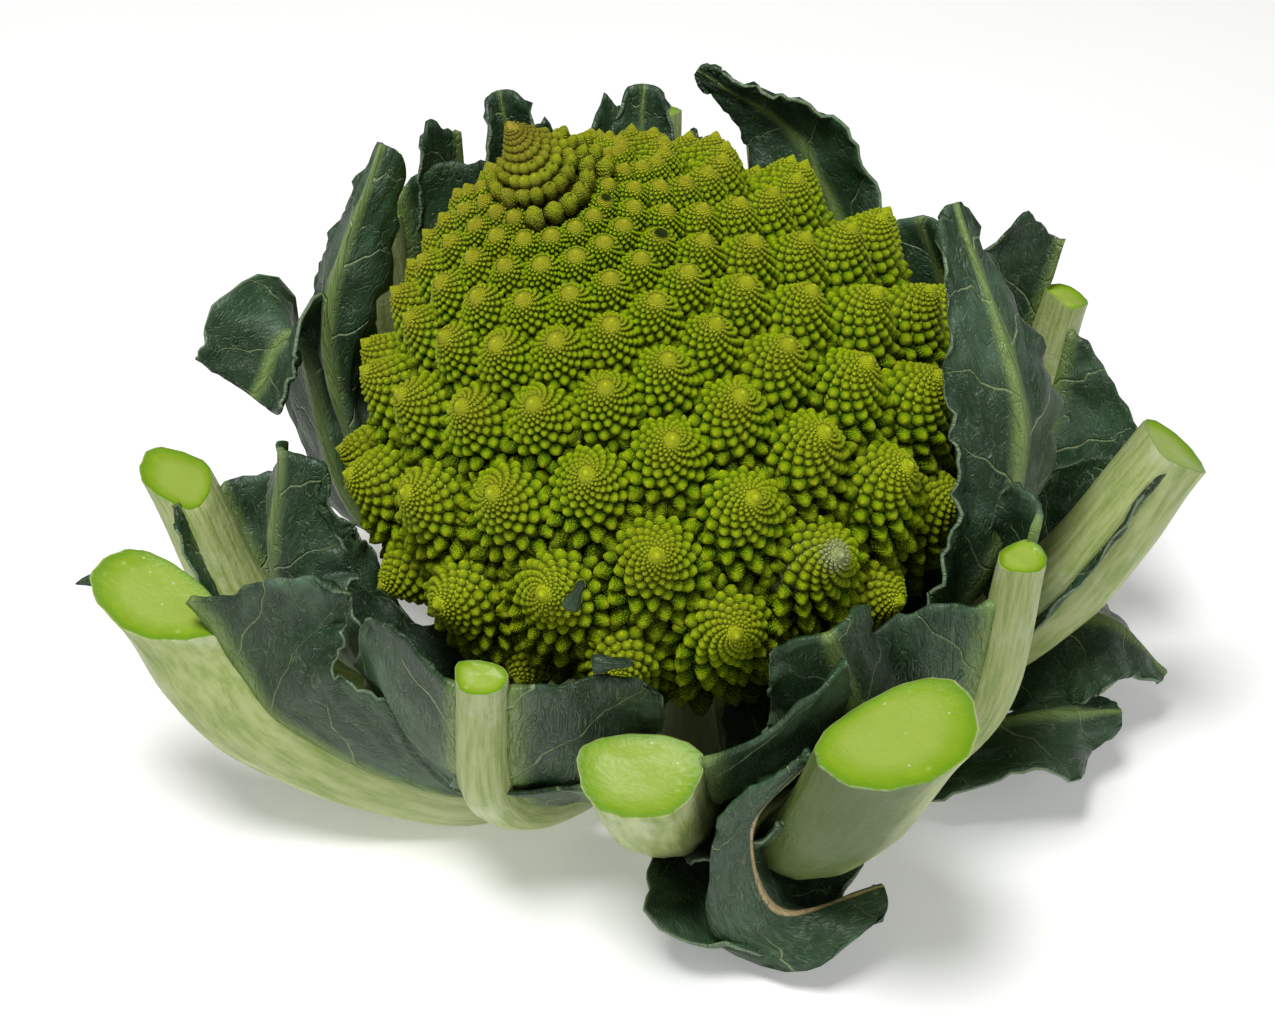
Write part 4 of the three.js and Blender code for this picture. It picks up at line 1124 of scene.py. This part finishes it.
def cut_blade(name, leaf, side, sign, seed):
    """One side of a cut leaf."""
    half = leaf[side]
    widest = max(half["wide"])
    length = path_length(leaf) * (half["to"] - half["from"])
    rows = int(np.clip(length / 2.2, 14, 60))
    columns = int(np.clip(widest / 1.7, 5, 24))
    piece, u, v = blade_grid(name, rows, columns)
    i, j = np.round(u * rows).astype(int), np.round(v * columns).astype(int)
    corner = ease(widest, 8, 20)
    pull = 1 - 0.16 * corner * v ** 6
    u_bent = 0.5 + (u - 0.5) * pull
    v_bent = v * (1 - 0.1 * corner * np.abs(2 * u - 1) ** 8)
    v_bent = v_bent * (1 + 0.05 * ripple(u, length / 30, seed) * v)
    u_bent = u_bent + 0.02 * ripple(v, 1.5, seed + 1) * u ** 6
    t = half["from"] + (half["to"] - half["from"]) * u_bent + half["rise"] * u_bent * v_bent
    at, along, across, out = path_frame(leaf, t)
    edge = spread(leaf["wide"], t) / 2 - 0.6
    fold, curl = spread(half["fold"], u_bent), spread(half["curl"], u_bent)
    way = blade_way(across, out, sign, fold, curl, v_bent)
    depth, count, start = half["wave"]
    wave = depth * v_bent ** 1.5 * np.sin(TURN * (count * u_bent + start))
    wide = spread(half["wide"], u_bent)
    points = at + across * (sign * edge)[:, None] + way * wide[:, None] + out * wave[:, None]
    points = np.where((v > 0)[:, None], keep_out(points, CLEAR_OF_CURD), points)
    normal = surface_normals(points, i, j, rows + 1, columns + 1)
    reach = v_bent * wide
    order = (t * path_length(leaf) - VEIN_SLANT * reach) / VEIN_SPACING
    order = order + 0.07 * ripple(u + 0.4 * v, 3, seed + 2) + 0.37 * seed
    between = np.abs(order - np.round(order)) * 2
    lift = 0.9 * (between - 0.5) * ease(v, 0, 0.15) * ease(v, 1, 0.75)
    lift = lift + 0.8 * ripple(u * 1.3 + 0.2 * np.sin(5 * v), length / 22, seed + 3) * v ** 0.7
    frill = min(widest / 14, 2.0)
    lift = lift + frill * ripple(u, length / 17, seed + 4) * v ** 5
    points = points + normal * lift[:, None]
    points[:, 2] = np.maximum(points[:, 2], LEAF_FLOOR)
    give_points(piece.data, points * MM)
    corners = corners_of(piece.data)
    give_map(piece.data, "veins", np.stack([order, reach / 10], -1)[corners])
    give_map(piece.data, "leaf", np.stack([u, v], -1)[corners])
    thicken_blade(piece, ease(v, 0.2, 0), v, RIB_CREST)
    return piece


def whole_leaf(name, leaf, seed):
    """A leaf with a thin rib in its middle."""
    widest = max(leaf["wide"])
    length = path_length(leaf)
    rows = int(np.clip(length / 2.4, 20, 64))
    columns = 2 * int(np.clip(widest / 1.7, 6, 16))
    piece, u, w = blade_grid(name, rows, columns)
    i, j = np.round(u * rows).astype(int), np.round(w * columns).astype(int)
    sign = np.sign(2 * w - 1)
    v = np.abs(2 * w - 1)
    u_bent = 0.5 + (u - 0.5) * (1 - 0.08 * ease(u, 0.5, 1) * v ** 4)
    v_bent = v * (1 + 0.07 * ripple(u + 0.31 * sign, length / 28, seed))
    at, along, across, out = path_frame(leaf, u_bent)
    fold = np.where(sign > 0, leaf["fold"][1], leaf["fold"][0]).astype(float)
    curl = np.where(sign > 0, leaf["curl"][1], leaf["curl"][0]).astype(float)
    way = blade_way(across, out, sign, fold, curl, v_bent)
    depth, count, start = leaf["wave"]
    wave = depth * v_bent ** 1.5 * np.sin(TURN * (count * u_bent + start + 0.3 * (sign > 0)))
    wide = spread(leaf["wide"], u_bent)
    if "inner" in leaf:
        wide = np.where(sign > 0, spread(leaf["inner"], u_bent), wide)
    points = at + way * wide[:, None] + out * wave[:, None]
    points = keep_out(points, CLEAR_OF_CURD)
    normal = surface_normals(points, i, j, rows + 1, columns + 1)
    reach = v_bent * wide
    order = (u * length - VEIN_SLANT * reach) / VEIN_SPACING + 0.5 * (sign > 0)
    order = order + 0.07 * ripple(u + 0.4 * v, 3, seed + 2) + 0.37 * seed
    between = np.abs(order - np.round(order)) * 2
    lift = 0.9 * (between - 0.5) * ease(v, 0, 0.2) * ease(v, 1, 0.75)
    lift = lift + 0.8 * ripple(u * 1.3 + 0.2 * np.sin(5 * w), length / 22, seed + 3) * v ** 0.7
    frill = min(widest / 11, 2.0)
    lift = lift + frill * ripple(u + 0.17 * sign, length / 17, seed + 4) * v ** 5
    points = points + normal * lift[:, None]
    points[:, 2] = np.maximum(points[:, 2], LEAF_FLOOR)
    give_points(piece.data, points * MM)
    corners = corners_of(piece.data)
    give_map(piece.data, "veins", np.stack([order, reach / 10], -1)[corners])
    rib = ease(v * widest, 3.2, 0.6) * (1 - 0.75 * u)
    if "inner" in leaf:
        v, rib = 1 - 0.5 * v, 0 * rib
        give_attribute(piece.data, "dry", np.ones(len(v)))
    give_map(piece.data, "leaf", np.stack([u, v], -1)[corners])
    thicken_blade(piece, rib, v, LEAF_CREST)
    return piece


# Scraps of leaf caught between florets: where each lies, the way it points, its length and turn.
SCRAPS = {
    "scrap_left": ([-27.6, -69.4, 99.5], [-0.21, -0.9, 0.39], 8.0, 70),
    "scrap_right": ([-19.9, -75.4, 85.0], [-0.12, -0.75, 0.6], 9.0, 10),
}


def leaf_scrap(name, at, direction, length, turn):
    """A small torn piece of blade, pointed at one end and bent along its middle."""
    piece, u, v = blade_grid(name, 12, 6)
    direction = unit(np.array(direction))
    side = unit(np.cross(UP, direction))
    front = np.cross(direction, side)
    angle = math.radians(turn)
    along = side * math.cos(angle) + front * math.sin(angle)
    across = np.cross(direction, along)
    wide = length * (0.42 * (1 - u) ** 0.6 + 0.05 * np.sin(9 * u))
    w = 2 * v - 1
    lift = 0.25 * length * u ** 2 - 0.9 * w ** 2 + 0.4 * np.sin(5 * u + 2 * w)
    points = np.array(at) + along * ((u - 0.5) * length)[:, None]
    points = points + across * (w * wide / 2)[:, None] + direction * lift[:, None]
    give_points(piece.data, points * MM)
    corners = corners_of(piece.data)
    give_map(piece.data, "veins", np.stack([u * 0.6 + 0.2, v], -1)[corners])
    give_map(piece.data, "leaf", np.stack([u, 0.4 + 0.5 * np.abs(w)], -1)[corners])
    thicken(piece, np.ones(len(u)), 0.7)
    return piece


RIB_SIDES = 40
RIB_ROWS = 44
SLANT_FROM = 0.7
ROUND_SHARE = 0.68  # how much of a rib's thickness lies on its round side
SMOOTH_ANGLE = math.radians(50)


def rib_blank():
    """A straight rib of unit size with its cut face inset, from which each rib is copied."""
    deselect()
    bpy.ops.mesh.primitive_cylinder_add(vertices=RIB_SIDES, radius=1, depth=1, location=(0, 0, 0.5),
                                        end_fill_type="NGON")
    blank = bpy.context.object
    bpy.ops.object.transform_apply(location=True, rotation=False, scale=False)
    bpy.ops.object.mode_set(mode="EDIT")
    for k in range(1, RIB_ROWS):
        bpy.ops.mesh.select_all(action="SELECT")
        bpy.ops.mesh.bisect(plane_co=(0, 0, k / RIB_ROWS), plane_no=(0, 0, 1))
    for top in (1, -1):
        choose_faces(lambda centre, normal: normal.z * top > 0.9)
        for inset in (0.035, 0.06, 0.14, 0.2, 0.2, 0.16):
            bpy.ops.mesh.inset(thickness=inset)
        bpy.ops.mesh.poke()
    bpy.ops.object.mode_set(mode="OBJECT")
    for layer in list(blank.data.uv_layers):
        blank.data.uv_layers.remove(layer)
    return blank


def copy_of(blank, name):
    piece = blank.copy()
    piece.data = blank.data.copy()
    piece.name = name
    bpy.context.collection.objects.link(piece)
    return piece


def skin_map(mesh, around, length):
    """The map of a rounded skin: once round it, and along it, with no jump inside a face."""
    corners = corners_of(mesh)
    starts = np.empty(len(mesh.polygons), int)
    totals = np.empty(len(mesh.polygons), int)
    mesh.polygons.foreach_get("loop_start", starts)
    mesh.polygons.foreach_get("loop_total", totals)
    first = np.repeat(around[corners][starts], totals)
    turned = around[corners] - np.round(around[corners] - first)
    give_map(mesh, "skin", np.stack([turned, length[corners]], -1))


def cut_rib(blank, name, leaf, seed):
    """A cut rib: round and keeled outside, flatter inside, with fine ridges along it."""
    piece = copy_of(blank, name)
    points = points_of(piece.data)
    t = points[:, 2]
    share = np.hypot(points[:, 0], points[:, 1])
    angle = np.arctan2(points[:, 1], points[:, 0])
    at, along, across, out = path_frame(leaf, t)
    wide, thick = spread(leaf["wide"], t) / 2, spread(leaf["thick"], t)
    ridges = 1 + 0.014 * np.cos(13 * angle + seed) + 0.012 * np.cos(5 * angle + 2 * seed)
    ridges = ridges + 0.03 * ripple(t, 2.2, seed)
    rounded = np.sign(np.cos(angle)) * np.abs(np.cos(angle)) ** 0.86
    x = wide * rounded * share * ridges
    deep = thick * np.where(np.sin(angle) > 0, ROUND_SHARE, 1 - ROUND_SHARE)
    y = deep * np.sin(angle) * share * ridges
    hollow = (t > 0.999) * 0.5 * ease(share, 0.97, 0.75)
    uneven = (t > 0.999) * 0.35 * np.sin(3 * angle + seed) * share
    offset = across * x[:, None] + out * y[:, None]
    placed = at + offset + along * (uneven - hollow)[:, None]
    if "cut" in leaf:
        cut = np.array(leaf["cut"], float)
        end = path_frame(leaf, np.array(1.0))[1]
        slant = np.maximum(0, (t - SLANT_FROM) / (1 - SLANT_FROM)) / (end @ cut)
        placed = placed - along * (slant * (offset @ cut))[:, None]
    placed[:, 2] = np.maximum(placed[:, 2], 0.3)
    give_points(piece.data, placed * MM)
    skin_map(piece.data, angle / TURN, t * path_length(leaf) / 40)
    cap = ((t > 0.999) | (t < 0.001)) & (share < 0.99)
    give_attribute(piece.data, "cut", cap)
    give_attribute(piece.data, "inside", np.where(cap, 1 - share, 0))
    give_attribute(piece.data, "low", ease(t, 0.55, 0.1))
    if "green_at" in leaf:
        facing = np.cos(angle - math.radians(leaf["green_at"]))
        uneven_edge = 0.12 * ripple(t, 3, seed + 5)
        give_attribute(piece.data, "green_side", ease(facing + uneven_edge, 0.1, 0.75))
        facing = np.cos(angle - math.radians(leaf["scab_at"])) + 0.02 * ripple(t, 5, seed + 6)
        give_attribute(piece.data, "scab", ease(facing, 0.96, 0.99) * ease(t, 0.6, 0.7))
    activate(piece)
    bpy.ops.object.shade_smooth_by_angle(angle=SMOOTH_ANGLE)
    return piece


def stem_piece(blank):
    """The short stem, with its flat cut below and the scars of lost leaves on its side."""
    piece = copy_of(blank, "stem")
    points = points_of(piece.data)
    t = 1 - points[:, 2]
    share = np.hypot(points[:, 0], points[:, 1])
    angle = np.arctan2(points[:, 1], points[:, 0])
    height = 34 * (1 - t)
    radius = np.interp(height, [0, 2, 16, 34], [17.5, 19, 18, 18.5])
    scars = ease(np.cos(3 * angle + height * 0.35), 0.5, 0.95) * ease(height, 1, 6)
    wide = radius * share * (1 + 0.02 * np.cos(5 * angle) - 0.03 * scars)
    bottom = np.where(height < 0.01, 0.25 * ease(share, 0.9, 0.6), 0)
    placed = np.stack([wide * np.cos(angle), wide * np.sin(angle), height + bottom], -1)
    give_points(piece.data, placed * MM)
    skin_map(piece.data, angle / TURN, height / 40)
    cap = ((height < 0.3) | (height > 33.9)) & (share < 0.99)
    give_attribute(piece.data, "cut", cap)
    give_attribute(piece.data, "inside", np.where(cap, 1 - share, 0))
    give_attribute(piece.data, "low", np.full(len(t), 0.6))
    activate(piece)
    bpy.ops.object.shade_smooth_by_angle(angle=SMOOTH_ANGLE)
    return piece


# Camera, light and floor

def set_camera():
    data = bpy.data.cameras.new("camera")
    data.lens = CAMERA_LENS
    data.sensor_width = 36
    camera = bpy.data.objects.new("camera", data)
    back = np.array([0, math.cos(CAMERA_HEIGHT_ANGLE), -math.sin(CAMERA_HEIGHT_ANGLE)])
    camera.location = CAMERA_TARGET - back * CAMERA_DISTANCE
    camera.rotation_euler = (math.pi / 2 - CAMERA_HEIGHT_ANGLE, 0, 0)
    bpy.context.collection.objects.link(camera)
    bpy.context.scene.camera = camera


def set_light():
    world = bpy.data.worlds.new("studio")
    world.use_nodes = True
    background = world.node_tree.nodes["Background"]
    background.inputs["Color"].default_value = (1.0, 1.0, 1.0, 1.0)
    background.inputs["Strength"].default_value = 0.2
    bpy.context.scene.world = world
    bpy.context.scene.view_settings.view_transform = "Standard"
    lamps = {"key": ((-0.2, -0.2, 1.1), 0.45, 11.0), "fill": ((0.7, -0.6, 0.7), 0.6, 1.3)}
    for name, (place_at, size, power) in lamps.items():
        data = bpy.data.lights.new(name, "AREA")
        data.shape = "DISK"
        data.size = size
        data.energy = power
        lamp = bpy.data.objects.new(name, data)
        lamp.location = place_at
        toward = CAMERA_TARGET - np.array(place_at)
        flat = math.hypot(toward[0], toward[1])
        turn = math.atan2(toward[1], toward[0]) - math.pi / 2
        lamp.rotation_euler = (math.atan2(flat, -toward[2]), 0, turn)
        bpy.context.collection.objects.link(lamp)


def set_floor():
    deselect()
    bpy.ops.mesh.primitive_plane_add(size=6)
    floor = bpy.context.object
    floor.name = "floor"
    floor.data.materials.append(floor_material())


set_camera()
set_light()
set_floor()

FLORET = floret_material()
BLADE = blade_material("blade", "162f18", "31502f", "66826a")
RIB = rib_material("rib", "b3bd80", "8ca255", "7c9e10")
STEM = rib_material("stem", "b9c48a", "a5b574", "ccd79a")

curd_pieces(FLORET)
for name, (at, direction, length, turn) in SCRAPS.items():
    finish_piece(leaf_scrap(name, at, direction, length, turn), name, BLADE, "blade")
blank = rib_blank()
finish_piece(stem_piece(blank), "stem_cut", STEM, "stem", "stem")
for seed, (name, leaf) in enumerate(CUT_LEAVES.items()):
    finish_piece(cut_rib(blank, name, leaf, seed), f"{name}_stalk", RIB, "rib", f"{name}_rib")
    for side, sign in (("cw", -1), ("ccw", 1)):
        made = cut_blade(name, leaf, side, sign, 10 + 2 * seed + (sign > 0))
        finish_piece(made, f"{name}_leaf_{side}", BLADE, "blade", f"{name}_blade_{side}")
for seed, (name, leaf) in enumerate(WHOLE_LEAVES.items()):
    finish_piece(whole_leaf(name, leaf, 60 + seed), f"{name}_leaf", BLADE, "blade", name)
bpy.data.objects.remove(blank)
